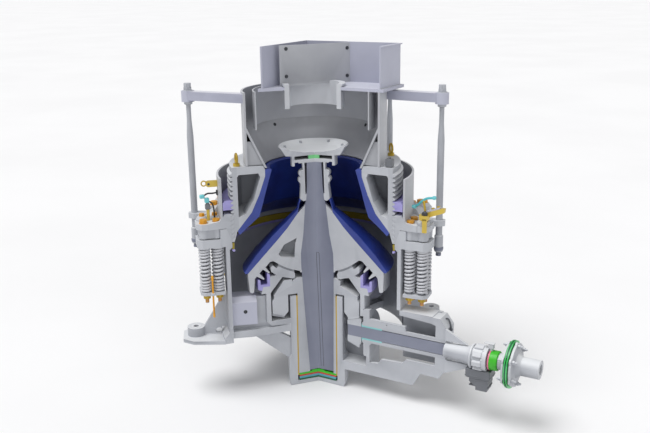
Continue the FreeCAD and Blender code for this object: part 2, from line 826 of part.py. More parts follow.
def arm_guard(index):
    """Liner bent over the arm, which takes the wear of what falls through."""
    label = "guard%d" % index
    half = arm_flange_width / 2.0
    body = new_body(label)
    sketch = new_sketch(body, "YZ_Plane", guard_inner)
    outline(sketch, [
        (-half, guard_bottom), (-half, guard_side), (-half + guard_slope, guard_top),
        (half - guard_slope, guard_top), (half, guard_side), (half, guard_bottom),
        (half - guard_wall, guard_bottom), (half - guard_wall, guard_side - 6.0),
        (half - guard_slope - 8.0, guard_top - guard_wall), (-half + guard_slope + 8.0, guard_top - guard_wall),
        (-half + guard_wall, guard_side - 6.0), (-half + guard_wall, guard_bottom)])
    padded(body, sketch, guard_outer - guard_inner)
    return place(body, 0, 0, 0, UP, arm_first + arm_pitch * (index - 1.0))


def foot(index):
    """Base plate with its bolt boss and the gusset that stiffens it."""
    label = "foot%d" % index
    outer = shell_bore + shell_wall + foot_ring_width
    base = plate(label + "_base", [
        (shell_bore + 20.0, -foot_root_half), (foot_reach - 130.0, -foot_root_half + 60.0), (foot_reach, -foot_tip_half),
        (foot_reach, foot_tip_half), (foot_reach - 130.0, foot_root_half - 60.0),
        (shell_bore + 20.0, foot_root_half)], foot_depth)
    boss = place(cylinder(label + "_boss", boss_radius, boss_top - 1.0), boss_place, 0, 1.0)
    gusset = plate(label + "_gusset", [
        (shell_bore + 20.0, foot_depth - 1.0), (boss_place - boss_radius + 10.0, foot_depth - 1.0),
        (boss_place - boss_radius + 10.0, boss_top - 5.0), (shell_bore + shell_wall + 30.0, gusset_top),
        (shell_bore + 20.0, gusset_top)], gusset_width, "XZ_Plane", True)
    window = place(cylinder(label + "_window", gusset_window, gusset_width * 2.0),
                   outer + gusset_window, gusset_width, foot_depth + gusset_window, ALONG_X, 90.0)
    hole = place(cylinder(label + "_hole", anchor_hole, boss_top * 2.0), boss_place, 0, -boss_top / 2.0)
    space = place(cylinder(label + "_space", shell_bore + shell_wall, gusset_top * 2.0), 0, 0, foot_ring_depth * 2.0)
    ring = place(cylinder(label + "_ring", outer, foot_ring_depth * 2.0 + 1.0), 0, 0, ground)
    whole = fused(label + "_whole", [base, boss, gusset])
    for tool in (ring, space, hole, window):
        whole = cut(tool.Name + "_cut", whole, tool)
    place(whole, 0, 0, 0, UP, foot_first + foot_pitch * (index - 1.0))
    return whole


def drive_box():
    """Box around the drive shaft: pinion chamber, base web, side wall, roof, end wall and the ribs of the boss."""
    shell_outer = shell_bore + shell_wall
    hub_outer = hub_bore + hub_wall
    outer_half = chamber_half_width + chamber_wall
    chamber = place(box("chamber_block", chamber_end + chamber_wall - hub_bore, outer_half,
                        chamber_top - chamber_floor + chamber_wall), hub_bore, 0, chamber_floor - chamber_wall)
    room = place(box("chamber_room", chamber_end - hub_bore, chamber_half_width, reach),
                 hub_bore, 0, chamber_floor)
    hollow = cut("chamber_hollow", chamber, room)
    web = plate("base_web", [
        (hub_bore, base_bottom), (1318.0, base_bottom), (1422.0, -294.0), (1656.0, -300.0),
        (1700.0, -205.0), (box_end, -205.0), (box_end, -150.0), (1231.0, -150.0),
        (1179.0, -207.0), (896.0, -222.0), (855.0, -287.0),
        (chamber_end + chamber_wall, -300.0), (chamber_end, chamber_floor - 5.0), (hub_bore, chamber_floor - 5.0)],
        web_half, "XZ_Plane", reverse=True)
    side = plate("box_side", [
        (shell_outer - 40.0, -207.0), (box_end + 60.0, -207.0), (box_end + 60.0, box_top - 60.0),
        (box_end, box_top), (shell_outer - 40.0, box_top)], box_side_wall, "XZ_Plane", reverse=True)
    place(side, 0, box_half_width - box_side_wall, 0)
    roof = plate("box_roof", [
        (shell_outer - 9.0, box_top - 62.0), (1552.0, box_top - 90.0), (1562.0, box_top - 1.0),
        (shell_outer - 9.0, box_top - 1.0)], box_half_width, "XZ_Plane", reverse=True)
    wall = plate("box_end_wall", [
        (box_end, -300.0), (1656.0, -300.0), (1735.0, -180.0), (1745.0, 350.0),
        (1658.0, box_top - 10.0), (1540.0, box_top - 10.0), (1552.0, box_top - 92.0),
        (box_end, box_top - 106.0)], box_half_width - 1.0, "XZ_Plane", reverse=True)
    ribs = plate("boss_ribs", [
        (1650.0, -298.0), (1708.0, -213.0), (boss_end, -60.0), (boss_end, 190.0),
        (1745.0, 352.0), (1700.0, 380.0)], rib_depth, "XZ_Plane", True)
    bore = place(cylinder("box_bore", tube_radius, reach), chamber_end - 5.0, 0, drive_height, ALONG_Y, 90.0)
    boss = spun("box_boss_space", [
        (ground, drive_section_end - 20.0), (boss_start_radius, drive_section_end - 20.0),
        (boss_start_radius, drive_section_end), (boss_end_radius, boss_end), (boss_end_radius, boss_end + 50.0),
        (ground, boss_end + 50.0)])
    seat = place(cylinder("housing_seat", flange_radius, flange_end - flange_start + 400.0),
                 flange_start - 200.0, 0, drive_height, ALONG_Y, 90.0)
    hub_space = revolved("hub_space", [
        (ground, hub_bottom), (hub_bore + hub_foot_wall, hub_bottom), (hub_bore + hub_foot_wall, hub_foot_top),
        (hub_outer, hub_foot_top + 40.0), (hub_outer, well_floor - well_floor_wall),
        (well_bore, well_floor - well_floor_wall), (well_bore + well_wall, well_floor - well_floor_wall + well_wall),
        (well_bore + well_wall, well_top), (ground, well_top)], 360.0)
    shell_space = cut("shell_space", place(cylinder("shell_space_outer", shell_outer, reach), 0, 0, box_top),
                      place(cylinder("shell_space_inner", shell_bore - 50.0, reach), 0, 0, box_top - 1.0))
    whole = fused("drive_box_whole", [hollow, web, side, roof, wall, ribs])
    corner = place(box("box_corner", chamber_wall * 4.0, outer_half, chamber_wall * 3.0), chamber_end - chamber_wall * 2.0,
                   flange_radius * 0.7, drive_height + flange_radius * 0.4)
    cleared = cut("drive_box_cleared", whole, fused(
        "drive_box_room", [bore, boss, seat, hub_space, shell_space, corner]))
    back = place(box("drive_box_back", reach, reach, reach), 0, 0, -reach / 2.0)
    beyond = place(box("drive_box_beyond", reach, reach, reach), drive_section_end, -reach / 2.0, -reach / 2.0)
    return common("drive_box", cleared, fused("drive_box_keep", [back, beyond]))


def step_pieces():
    """Washers that carry the eccentric, and the cover under them."""
    red_top = step_top - seat_gap
    cyan_top = red_top - red_depth
    dark_top = cyan_top - cyan_depth
    dark_bottom = dark_top - dark_depth
    plates = []
    for label, high, low in (("red_washer", red_top, cyan_top), ("cyan_washer", cyan_top, dark_top),
                             ("dark_washer", dark_top, dark_bottom)):
        plates.append(revolved(label, [(ground, low), (step_radius, low), (step_radius, high), (ground, high)],
                               section_angle))
    cover = revolved("cover", [
        (ground, hub_bottom - cover_depth), (hub_bore + hub_foot_wall - 12.0, hub_bottom - cover_depth),
        (hub_bore + hub_foot_wall - 12.0, hub_bottom), (hub_bore - seat_gap, hub_bottom),
        (hub_bore - seat_gap, dark_bottom), (ground, dark_bottom)], section_angle)
    return plates + [cover]


def socket_pieces():
    """Socket that stands on the well, the spherical liner on it and the U shaped seal ring."""
    inner_sphere = head_sphere + seat_gap
    outer_sphere = inner_sphere + liner_wall
    low_depth = root(outer_sphere * outer_sphere - socket_inner * socket_inner)
    high_depth = root(outer_sphere * outer_sphere - socket_liner_end * socket_liner_end)
    shelf = well_top + 90.0
    socket = revolved("socket_body", [
        (socket_inner - 6.0, 738.0), (socket_inner - 14.0, 790.0),
        (socket_inner, pivot_height - low_depth, (outer_sphere, 1)),
        (socket_liner_end, pivot_height - high_depth), (socket_liner_end + 20.0, 893.0), (572.0, 936.0),
        (599.0, 913.0), (594.0, 859.0), (532.0, 812.0), (563.0, 795.0), (seal_radius, 800.0), (seal_radius, shelf),
        (seal_radius + 91.0, shelf), (well_bore + well_wall + 61.0, well_top), (well_bore, well_top),
        (582.0, 617.0), (452.0, 773.0), (360.0, 747.0), (341.0, 738.0)], section_angle)
    liner_low = root(inner_sphere * inner_sphere - socket_inner * socket_inner)
    liner_high = root(inner_sphere * inner_sphere - socket_liner_end * socket_liner_end)
    liner = revolved("socket_liner_body", [
        (socket_inner, pivot_height - low_depth, (outer_sphere, 1)),
        (socket_liner_end, pivot_height - high_depth),
        (socket_liner_end, pivot_height - liner_high, (inner_sphere, -1)),
        (socket_inner, pivot_height - liner_low)], section_angle)
    inside = seal_radius + seal_wall
    outside = inside + seal_channel
    slope = (well_bore + well_wall + 61.0 - seal_radius - 91.0) / 90.0
    seal = revolved("seal_body", [
        (seal_radius, shelf), (seal_radius + 91.0, shelf), (seal_radius + 91.0 + slope * 47.0, shelf - 47.0),
        (outside + 31.0, shelf - 31.0), (outside + 33.0, 777.0), (outside + 2.0, 768.0),
        (outside, shelf + 31.0), (inside, shelf + 31.0), (inside, 852.0), (seal_radius, 826.0)], section_angle)
    return socket, liner, seal


def eccentric_pieces():
    """Eccentric with its leaning bore, its gear, its weight and the plate that it turns on."""
    outer = hub_bore - bushing_wall - turn_gap
    under = hub_top + 25.0
    body = revolved("eccentric_body", [
        (ground, step_top + green_depth), (outer, step_top + green_depth), (outer, under),
        (gear_bore, under), (gear_bore, gear_top), (gear_seat, gear_top), (gear_seat, gear_top + 46.0),
        (weight_bore, gear_top + 146.0), (weight_bore, weight_top - 24.0), (weight_bore - 30.0, weight_top),
        (outer, weight_top + 11.0), (ground, weight_top + 11.0)], section_angle)
    taper = (shaft_top_taper_radius - shaft_low_radius) / (shaft_taper_top - shaft_bottom)
    bore = leaning("eccentric_bore", [
        (ground, shaft_bottom - 200.0), (shaft_low_radius + turn_gap - taper * 200.0, shaft_bottom - 200.0),
        (shaft_top_taper_radius + turn_gap, shaft_taper_top), (ground, shaft_taper_top)])
    eccentric = cut("eccentric_bored", body, bore)
    green = revolved("green_washer", [
        (ground, step_top), (outer, step_top), (outer, step_top + green_depth),
        (green_pad_radius, step_top + green_depth), (green_pad_radius, step_top + green_depth + 12.0),
        (ground, step_top + green_depth + 12.0)], section_angle)
    weight = revolved("weight_body", [
        (weight_bore, gear_top + 146.0), (gear_seat, gear_top + 46.0), (gear_seat - 132.0, weight_top),
        (weight_bore, weight_top)], weight_angle)
    place(weight, 0, 0, 0, UP, section_angle - weight_angle)
    return eccentric, weight, green


def pitch_height(radius):
    """Height of the gear's pitch cone above the drive axis at a radius."""
    return radius * pinion_teeth / gear_teeth


def bevel_gear():
    """Ring of straight bevel teeth that face down, cut to one point on the drive axis."""
    outer_rise = pitch_height(tooth_outer)
    body = revolved("gear_body", [
        (tooth_inner, drive_height + (outer_rise + dedendum) * tooth_inner / tooth_outer),
        (tooth_outer, drive_height + outer_rise + dedendum), (tooth_outer + 2.0, gear_top - 30.0),
        (gear_seat, gear_top), (gear_bore, gear_top), (gear_bore, gear_top - 190.0)], 360.0)
    sketches = []
    for distance in (tooth_outer, tooth_inner):
        scale = distance / tooth_outer
        sketch = new_sketch(body, "YZ_Plane", distance)
        outline(sketch, [
            (side * width * scale, drive_height + (outer_rise + height) * scale) for side, width, height in (
                (-1.0, rack_half(dedendum), dedendum + tooth_root), (-1.0, rack_half(dedendum), dedendum),
                (-1.0, rack_half(-addendum), -addendum), (1.0, rack_half(-addendum), -addendum),
                (1.0, rack_half(dedendum), dedendum), (1.0, rack_half(dedendum), dedendum + tooth_root))])
        sketches.append(sketch)
    tooth = lofted(body, sketches)
    polar(body, [tooth], gear_teeth, 360.0)
    return opened("gear_open", body)


def rack_half(height):
    """Half width of a gear tooth at a height above its pitch line."""
    return (tooth_pitch / 2.0 - backlash) / 2.0 + height * (sine(pressure_angle) / cosine(pressure_angle))


def lofted(body, sketches):
    """Join two sketches with straight sides."""
    loft = body.newObject("PartDesign::AdditiveLoft", body.Name + "_tooth")
    loft.Profile = sketches[0]
    loft.Sections = sketches[1:]
    loft.Ruled = True
    return loft


def involute_half(radius):
    """Half angle of a pinion tooth at a radius outside its base circle."""
    base = pinion_pitch_radius * cosine(pressure_angle)
    half_at_pitch = (tooth_pitch / 2.0 - backlash) / 2.0 / pinion_pitch_radius * 180.0 / math.pi
    return half_at_pitch + involute(base, pinion_pitch_radius) - involute(base, radius)


def involute(base, radius):
    """Involute angle in degrees at a radius, for a base circle."""
    tangent = root(radius * radius - base * base) / base
    return tangent * 180.0 / math.pi - Size(
        "(acos(%s) / 1 deg)" % (base / radius).text, math.degrees(math.acos(number(base) / number(radius))))


def bevel_pinion():
    """Pinion whose teeth have involute flanks and run to the same point as those of the gear."""
    base = pinion_pitch_radius * cosine(pressure_angle)
    root_radius = pinion_pitch_radius - dedendum
    tip_radius = pinion_pitch_radius + addendum
    near = (tooth_inner - 6.0) / tooth_outer
    far = (tooth_outer + 6.0) / tooth_outer
    body = revolved("pinion_body", [
        (drive_radius, tooth_outer * near), (root_radius * near, tooth_outer * near),
        (root_radius * far, tooth_outer * far), (pinion_hub_radius, pinion_end), (drive_radius, pinion_end)], 360.0)
    flank = [(base, involute_half(base + 0.01)), (pinion_pitch_radius, involute_half(pinion_pitch_radius)),
             ((pinion_pitch_radius + tip_radius) / 2.0, involute_half((pinion_pitch_radius + tip_radius) / 2.0)),
             (tip_radius, involute_half(tip_radius))]
    flank.insert(0, (root_radius - tooth_root, flank[0][1]))
    sketches = []
    for scale in (near, far):
        sketch = new_sketch(body, "XY_Plane", tooth_outer * scale)
        lower = [(radius * cosine(half) * scale, -radius * sine(half) * scale) for radius, half in flank]
        upper = [(radius * cosine(half) * scale, radius * sine(half) * scale) for radius, half in reversed(flank)]
        outline(sketch, lower + upper)
        sketches.append(sketch)
    tooth = lofted(body, sketches)
    polar(body, [tooth], pinion_teeth, 360.0)
    place(body, 0, 0, drive_height, ALONG_Y, 90.0)
    return halved("pinion_half", body)


def drive_pieces():
    """Drive shaft, its bushing and housing, and what is on its outer end."""
    tube_bore = drive_radius + turn_gap
    shaft = halved("drive_shaft", spun("drive_shaft_whole", [
        (ground, drive_start), (drive_radius, drive_start), (drive_radius, drive_end), (ground, drive_end)]))
    bushing = halved("drive_bushing", spun("drive_bushing_whole", [
        (tube_bore, sleeve_start), (sleeve_radius + 20.0, sleeve_start), (sleeve_radius + 20.0, sleeve_start + 8.0),
        (sleeve_radius, sleeve_start + 8.0), (sleeve_radius, sleeve_end), (tube_bore, sleeve_end)]))
    tube = halved("housing", spun("housing_whole", [
        (sleeve_radius, sleeve_start + 8.0), (tube_radius + 10.0, sleeve_start + 8.0),
        (tube_radius + 10.0, flange_start), (flange_radius - 14.0, flange_start), (flange_radius, flange_start + 16.0),
        (flange_radius, flange_end), (tube_radius + 30.0, flange_end), (tube_radius, flange_end + 30.0),
        (tube_radius, drive_section_end), (boss_start_radius, drive_section_end), (boss_end_radius, boss_end),
        (tube_bore + 8.0, boss_end), (tube_bore + 8.0, sleeve_end), (sleeve_radius, sleeve_end)]))
    pad = plate("housing_pad", [
        (flange_end - 1.0, drive_height + tube_radius - 20.0), (1226.0, drive_height + tube_radius - 20.0),
        (1213.0, pad_top - 8.0), (flange_end - 1.0, pad_top)], pad_depth, "XZ_Plane", reverse=True)
    pad_hole = place(cylinder("pad_hole", 9.0, pad_depth * 3.0), 969.0, pad_depth * 2.0, pad_top - 36.0, ALONG_X, 90.0)
    housing = fused("housing_padded", [tube, cut("housing_pad_bored", pad, pad_hole)])
    seal = spun("drive_seal", [
        (tube_bore + 8.0, boss_end), (seal_case_radius - 8.0, boss_end), (seal_case_radius, boss_end + 20.0),
        (seal_case_radius, seal_case_end - 60.0), (seal_case_radius + 16.0, seal_case_end - 50.0),
        (seal_case_radius + 16.0, seal_case_end), (tube_bore + 8.0, seal_case_end)])
    sump_shape = plate("sump", [
        (boss_end + 10.0, drive_height - 100.0), (boss_end + 10.0, sump_step), (boss_end + 90.0, sump_step - 60.0),
        (boss_end + 90.0, sump_bottom), (seal_case_end + 14.0, sump_bottom), (seal_case_end + 28.0, sump_step),
        (seal_case_end, drive_height - 100.0)], sump_width, "XZ_Plane", True)
    seal_room = spun("sump_room", [
        (ground, boss_end - 60.0), (seal_case_radius + 16.0, boss_end - 60.0),
        (seal_case_radius + 16.0, seal_case_end + 60.0), (ground, seal_case_end + 60.0)])
    sump = cut("sump_cut", sump_shape, seal_room)
    collar = spun("pink_collar", [
        (drive_radius, collar_start), (collar_radius, collar_start), (collar_radius, collar_start + collar_depth),
        (drive_radius, collar_start + collar_depth)])
    flinger_start = collar_start + collar_depth
    flinger = spun("green_flinger", [
        (drive_radius, flinger_start), (collar_radius - 4.0, flinger_start), (collar_radius - 4.0, flinger_end - 8.0),
        (collar_radius - 12.0, flinger_end), (drive_radius, flinger_end)])
    return shaft, bushing, housing, seal, sump, collar, flinger


def coupling_pieces():
    """Two flanged coupling halves with a pair of thin discs between them."""
    disc_start = drive_end + disc_gap
    inner = spun("coupling_inner", [
        (drive_radius, flinger_end), (coupling_hub_radius, flinger_end), (coupling_hub_radius, drive_end - 46.0),
        (coupling_hub_radius + 30.0, drive_end - 22.0), (coupling_radius, drive_end - 22.0),
        (coupling_radius, drive_end), (drive_radius, drive_end)])
    rings = []
    for index in range(2):
        start = disc_start + (disc_depth + disc_gap) * float(index)
        rings.append(spun("disc%d" % index, [
            (disc_bore, start), (disc_radius, start), (disc_radius, start + disc_depth), (disc_bore, start + disc_depth)]))
    outer_start = disc_start + (disc_depth + disc_gap) * 2.0
    for index in range(6):
        turn = 60.0 * index
        bolt_place = (coupling_radius + disc_bore) / 2.0
        spacer = place(cylinder("spacer%d" % index, disc_bolt, outer_start - drive_end),
                       drive_end, bolt_place * math.sin(math.radians(turn)),
                       drive_height + bolt_place * math.cos(math.radians(turn)), ALONG_Y, 90.0)
        rings.append(spacer)
    discs = fused("discs", rings)
    outer = spun("coupling_outer", [
        (coupling_bore, outer_start + 24.0), (disc_bore - 40.0, outer_start + 24.0), (disc_bore - 40.0, outer_start),
        (coupling_radius, outer_start), (coupling_radius, outer_start + 26.0),
        (coupling_hub_radius + 50.0, outer_start + 40.0), (coupling_hub_radius + 14.0, outer_start + 90.0),
        (coupling_hub_radius + 14.0, coupling_end), (coupling_bore, coupling_end)])
    return inner, discs, outer


def head_pieces():
    """Shaft, head, mantle, nut and feed plate, all about the leaning axis."""
    shaft = opened("main_shaft_open", leaning("main_shaft_whole", [
        (ground, shaft_bottom), (shaft_low_radius, shaft_bottom), (shaft_top_taper_radius, shaft_taper_top),
        (head_bore_radius, 1050.0), (175.0, 1300.0), (neck_radius, neck_height), (nut_seat_radius, nut_seat_height),
        (nut_thread_radius, nut_thread_height), (97.0, shaft_top), (ground, shaft_top)]))
    taper = (shaft_top_taper_radius - shaft_low_radius) / (shaft_taper_top - shaft_bottom)
    nut_taper = (nut_seat_radius - nut_thread_radius) / (nut_thread_height - nut_seat_height)
    nut_step = nut_seat_height + 80.0
    start_depth = root(head_sphere * head_sphere - head_ball_start * head_ball_start)
    end_depth = root(head_sphere * head_sphere - head_ball_end * head_ball_end)
    lowered = [
        (shaft_top_taper_radius - taper * (shaft_taper_top - 806.0), 806.0), (head_ball_start - 6.0, 806.0),
        (head_ball_start, pivot_height - start_depth, (head_sphere, 1)), (head_ball_end, pivot_height - end_depth),
        (575.0, 1004.0), (618.0, 1000.0), (664.0, 953.0), (680.0, 939.0), (628.0, 867.0), (641.0, 856.0),
        (713.0, 917.0), (759.0, 872.0), (698.0, 795.0), (709.0, 783.0), (793.0, 838.0), (820.0, 812.0),
        (skirt_inner, skirt_bottom + 12.0), (skirt_inner + 20.0, skirt_bottom), (skirt_outer - 14.0, skirt_bottom + 14.0),
        (skirt_outer, 856.0), (mantle_foot_radius, mantle_foot), (513.0, 1262.0), (375.0, 1402.0), (236.0, 1570.0),
        (neck_radius + 10.0, neck_height - 22.0), (neck_radius, neck_height), (175.0, 1300.0),
        (head_bore_radius, 1050.0), (shaft_top_taper_radius, shaft_taper_top)]
    body = revolved("head_body", [tuple([point[0], point[1] - pivot_height]) + tuple(point[2:])
                                  for point in lowered], 360.0)
    cells = grooved(body, [(radius, height - pivot_height) for radius, height in (
        (300.0, 1004.0), (471.0, 1046.0), (507.0, 1081.0), (430.0, 1194.0), (262.0, 1260.0), (283.0, 1188.0))],
        cavity_angle, cavity_first)
    polar(body, [cells], 4, 360.0)
    turned = place(body, 0, 0, pivot_height, ALONG_Y, -lean)
    head = opened("head_open", turned)
    mantle = opened("mantle_open", leaning("mantle_whole", [
        (mantle_foot_radius, mantle_foot), (513.0, 1262.0), (375.0, 1402.0), (236.0, 1570.0), (209.0, 1691.0),
        (190.0, 1737.0), (204.0, 1737.0), (242.0, 1610.0), (398.0, 1470.0), (573.0, 1321.0),
        (798.0, 1094.0), (mantle_radius, 910.0), (mantle_radius - 6.0, mantle_foot)]))
    nut = opened("nut_open", leaning("nut_whole", [
        (nut_seat_radius, nut_seat_height), (158.0, 1712.0), (197.0, 1745.0), (183.0, 1915.0), (190.0, 1945.0, (38.0, 1)),
        (190.0, 2012.0), (186.0, 2028.0, (38.0, 1)), (182.0, 2094.0), (150.0, 2101.0), (153.0, shaft_top),
        (128.0, shaft_top), (128.0, nut_step), (nut_seat_radius - nut_taper * (nut_step - nut_seat_height), nut_step)]))
    seat = opened("feed_seat_open", leaning("feed_seat_whole", [
        (ground, shaft_top), (196.0, shaft_top), (212.0, shaft_top + 14.0), (dish_wall_radius, shaft_top + 14.0),
        (dish_wall_radius, shaft_top + 44.0), (ground, shaft_top + 44.0)]))
    clamp = opened("feed_clamp_open", leaning("feed_clamp_whole", [
        (ground, shaft_top + 44.0), (clamp_radius, shaft_top + 44.0), (clamp_radius, shaft_top + 88.0),
        (ground, shaft_top + 88.0)]))
    dish = opened("feed_plate_open", leaning("feed_plate_whole", [
        (ground, shaft_top + 88.0), (dish_wall_radius, shaft_top + 88.0), (dish_wall_radius, shaft_top - 30.0),
        (dish_wall_radius + 34.0, shaft_top - 27.0), (dish_wall_radius + 34.0, shaft_top + 94.0),
        (358.0, shaft_top + 102.0), (dish_radius, shaft_top + 206.0), (dish_radius - 12.0, shaft_top + 220.0),
        (300.0, shaft_top + 164.0), (140.0, shaft_top + 132.0), (ground, shaft_top + 120.0)]))
    return shaft, head, mantle, nut, seat, clamp, dish


def thread_line(count, start, gap):
    """Outline points of a run of buttress teeth that rises, each with a sloping top and a shallow underside.

    With a gap they are the teeth of the ring that the bowl hangs in, which meet the bowl's undersides.
    """
    crest = thread_crest + gap
    valley = thread_crest - thread_depth + gap
    drop = (gap * tooth_rise / thread_depth - seat_gap) if number(gap) else ground
    points = []
    for index in range(count):
        low = start + thread_pitch * float(index)
        points.append((valley, low + drop))
        points.append((crest, low + tooth_rise + drop))
        points.append((crest, low + tooth_land + gap))
        points.append((valley, low + tooth_width + gap))
    return points


def bowl_pieces():
    """Adjustment ring, bowl with its buttress teeth, liner, clamping ring and dust cover."""
    crest = thread_crest
    valley = thread_crest - thread_depth
    cone_foot = ring_flange_bottom + 94.0
    inner_points = thread_line(ring_teeth, thread_start, thread_gap)
    seat_slope = (seat_high_radius - seat_low_radius) / (frame_top - seat_low)
    ring_body = revolved("ring_body", [
        (valley + thread_gap, ring_bottom),
        (seat_low_radius + seat_slope * (ring_bottom - seat_low) - seat_gap, ring_bottom),
        (seat_high_radius - seat_gap, frame_top), (seat_high_radius - seat_gap, ring_flange_bottom),
        (ring_flange_radius, ring_flange_bottom),
        (ring_flange_radius, ring_flange_bottom + 76.0), (cone_foot_radius, cone_foot),
        (cone_top_radius, ring_top - 6.0), (cone_top_radius - 6.0, ring_top), (crest + 14.0, ring_top)]
        + inner_points[::-1], section_angle)
    with_bolt_holes(ring_body, ring_flange_bottom, ring_flange_bottom + ring_ear_depth)
    bowl_points = thread_line(bowl_teeth, thread_start, ground)
    cell = [(cell_radius, 1595.0), (cell_radius, 2084.0), (cell_radius - 20.0, 2108.0), (712.0, 2108.0),
            (691.0, 2058.0), (784.0, 1775.0), (884.0, 1621.0)]
    rim_bore = 632.0 - 3.0 * (2108.0 - 2064.0) / (2145.0 - 2064.0)
    screw = revolved("bowl_screw_body", bowl_points + [
        (valley, bowl_top), (cell_radius, bowl_top), (cell_radius, 1453.0), (998.0, 1420.0)], section_angle)
    bowl = revolved("bowl_body", [
        (cell_radius, 1453.0), cell[0], cell[6], cell[5], cell[4], cell[3], (rim_bore, 2108.0), (632.0, 2064.0),
        (710.0, 1850.0), (813.0, 1637.0)], section_angle)
    rim = revolved("bowl_rim_body", [
        (rim_bore, 2108.0), cell[3], cell[2], cell[1], (cell_radius, bowl_top), (651.0, bowl_top - 11.0),
        (629.0, 2145.0)], section_angle)
    ribs = compound("bowl_ribs_all", [place(
        revolved("bowl_rib%d" % index, cell, bowl_cell_pitch - bowl_cell_angle), 0, 0, 0, UP,
        bowl_cell_angle + bowl_cell_pitch * float(index)) for index in range(bowl_cells - 1)])
    liner = revolved("bowl_liner_body", [
        (629.0 - seat_gap, 2145.0), (588.0, 2153.0), (547.0, 2138.0), (626.0, 1888.0), (667.0, 1739.0),
        (720.0, 1579.0), (879.0, 1454.0), (965.0, 1380.0), (992.0, 1425.0), (973.0 - seat_gap, 1453.0 - seat_gap),
        (813.0 - seat_gap, 1637.0 - seat_gap), (710.0 - seat_gap, 1850.0), (632.0 - seat_gap, 2064.0)], section_angle)
    clamp_start = thread_start + thread_pitch * float(clamp_tooth)
    clamp_bottom = clamp_start - 5.0
    clamp_top = clamp_start + thread_pitch + 51.0
    clamp_points = thread_line(2, clamp_start, thread_gap)
    clamp = revolved("clamp_ring_body", [
        (valley + thread_gap, clamp_bottom), (clamp_ring_radius, clamp_bottom), (clamp_ring_radius, clamp_top - 30.0),
        (clamp_ring_radius - 24.0, clamp_top), (valley + thread_gap, clamp_top)] + clamp_points[::-1], section_angle)
    jack = new_body("jack_body")
    first = new_sketch(jack, "XY_Plane", ring_top, jack_pitch / 2.0)
    circle(first, jack_place, ground, jack_radius)
    jack.AllowCompound = True
    one_jack = padded(jack, first, clamp_bottom - ring_top)
    document.recompute()
    polar(jack, [one_jack], jack_count, jack_pitch * (jack_count - 1.0))
    cone_slope = (ring_top - 6.0 - cone_foot) / (cone_foot_radius - cone_top_radius)
    cover = revolved("dust_cover_body", [
        (dust_radius, cone_foot + (cone_foot_radius - dust_radius) * cone_slope + seat_gap),
        (dust_radius + dust_wall, cone_foot + (cone_foot_radius - dust_radius - dust_wall) * cone_slope + seat_gap),
        (dust_radius + dust_wall, dust_top), (dust_radius, dust_top)], section_angle)
    return ring_body, screw, bowl, rim, ribs, liner, clamp, jack, cover


def hopper_pieces():
    """Feed hopper on the bowl, with its cone, skirt, cover plate, ring and open box."""
    shell = revolved("hopper_shell_body", [
        (hopper_bore, bowl_top), (hopper_bore + hopper_wall, bowl_top), (hopper_bore + hopper_wall, cover_low),
        (hopper_bore, cover_low)], section_angle)
    cone = revolved("hopper_cone_body", [
        (hopper_bore, 2661.0), (604.0, 2165.0), (631.0, 2165.0), (hopper_bore, 2604.0)], section_angle)
    gusset = new_sketch(cone, "XZ_Plane", 0.0, 3.0, True)
    gusset_end = root(hopper_bore * hopper_bore - hopper_wall * hopper_wall / 4.0)
    outline(gusset, [(644.0, bowl_top), (gusset_end, bowl_top), (gusset_end, 2489.0), (770.0, 2489.0)])
    gusset_pad = padded(cone, gusset, hopper_wall, True)
    polar(cone, [gusset_pad], 6, section_angle - 6.0)
    skirt = revolved("hopper_skirt_body", [
        (skirt_bore, skirt_low), (skirt_bore + skirt_wall, skirt_low), (skirt_bore + skirt_wall, cover_low),
        (skirt_bore, cover_low)], section_angle)
    cover = plate("cover_plate_body", rectangle(cover_left, -cover_back, cover_right, cover_back), cover_plate_depth)
    place(cover, 0, 0, cover_low)
    ring_hole = place(cylinder("feed_hole", feed_ring_radius, reach), 0, 0, cover_low - 100.0)
    cover_open = cut("cover_plate_open", opened("cover_plate_wedge", cover), ring_hole)
    ring = revolved("feed_ring_body", [
        (feed_ring_bore, feed_ring_low), (feed_ring_radius, feed_ring_low), (feed_ring_radius, feed_ring_high - 30.0),
        (feed_ring_radius + 14.0, feed_ring_high - 24.0), (feed_ring_radius + 14.0, feed_ring_high),
        (feed_ring_bore, feed_ring_high)], section_angle)
    base = cover_low + cover_plate_depth
    left = cover_left + box_margin
    right = cover_right - box_margin - 12.0
    back = cover_back - box_margin
    height = feed_box_top - base
    walls = [
        place(box("feed_wall_back", right - left, feed_wall, height), left, back - feed_wall, base),
        place(box("feed_wall_right", feed_wall, back, height), right - feed_wall, 0, base),
        place(box("feed_wall_left", feed_wall, back * 2.0, height), left, -back, base),
        place(box("feed_lip", feed_wall * 3.0, back, feed_wall), right - feed_wall, 0, feed_box_top - feed_wall)]
    feed_box = opened("feed_box_open", fused("feed_box_whole", walls))
    panel_whole = place(box("feed_panel_blank", 920.0, 20.0, height - 8.0), -318.0, -229.0, base, UP, 55.4)
    panel_ring = revolved("panel_ring_room", [
        (feed_ring_bore, cover_low), (feed_ring_radius + 14.0, cover_low), (feed_ring_radius + 14.0, feed_ring_high),
        (feed_ring_bore, feed_ring_high)], 360.0)
    panel_back = place(box("panel_back_room", reach, feed_wall * 3.0, reach), -reach / 2.0, back - feed_wall, base - 1.0)
    panel = cut("feed_panel_cut", panel_whole, compound("panel_rooms", [panel_ring, panel_back]))
    return shell, cone, skirt, cover_open, ring, feed_box, panel


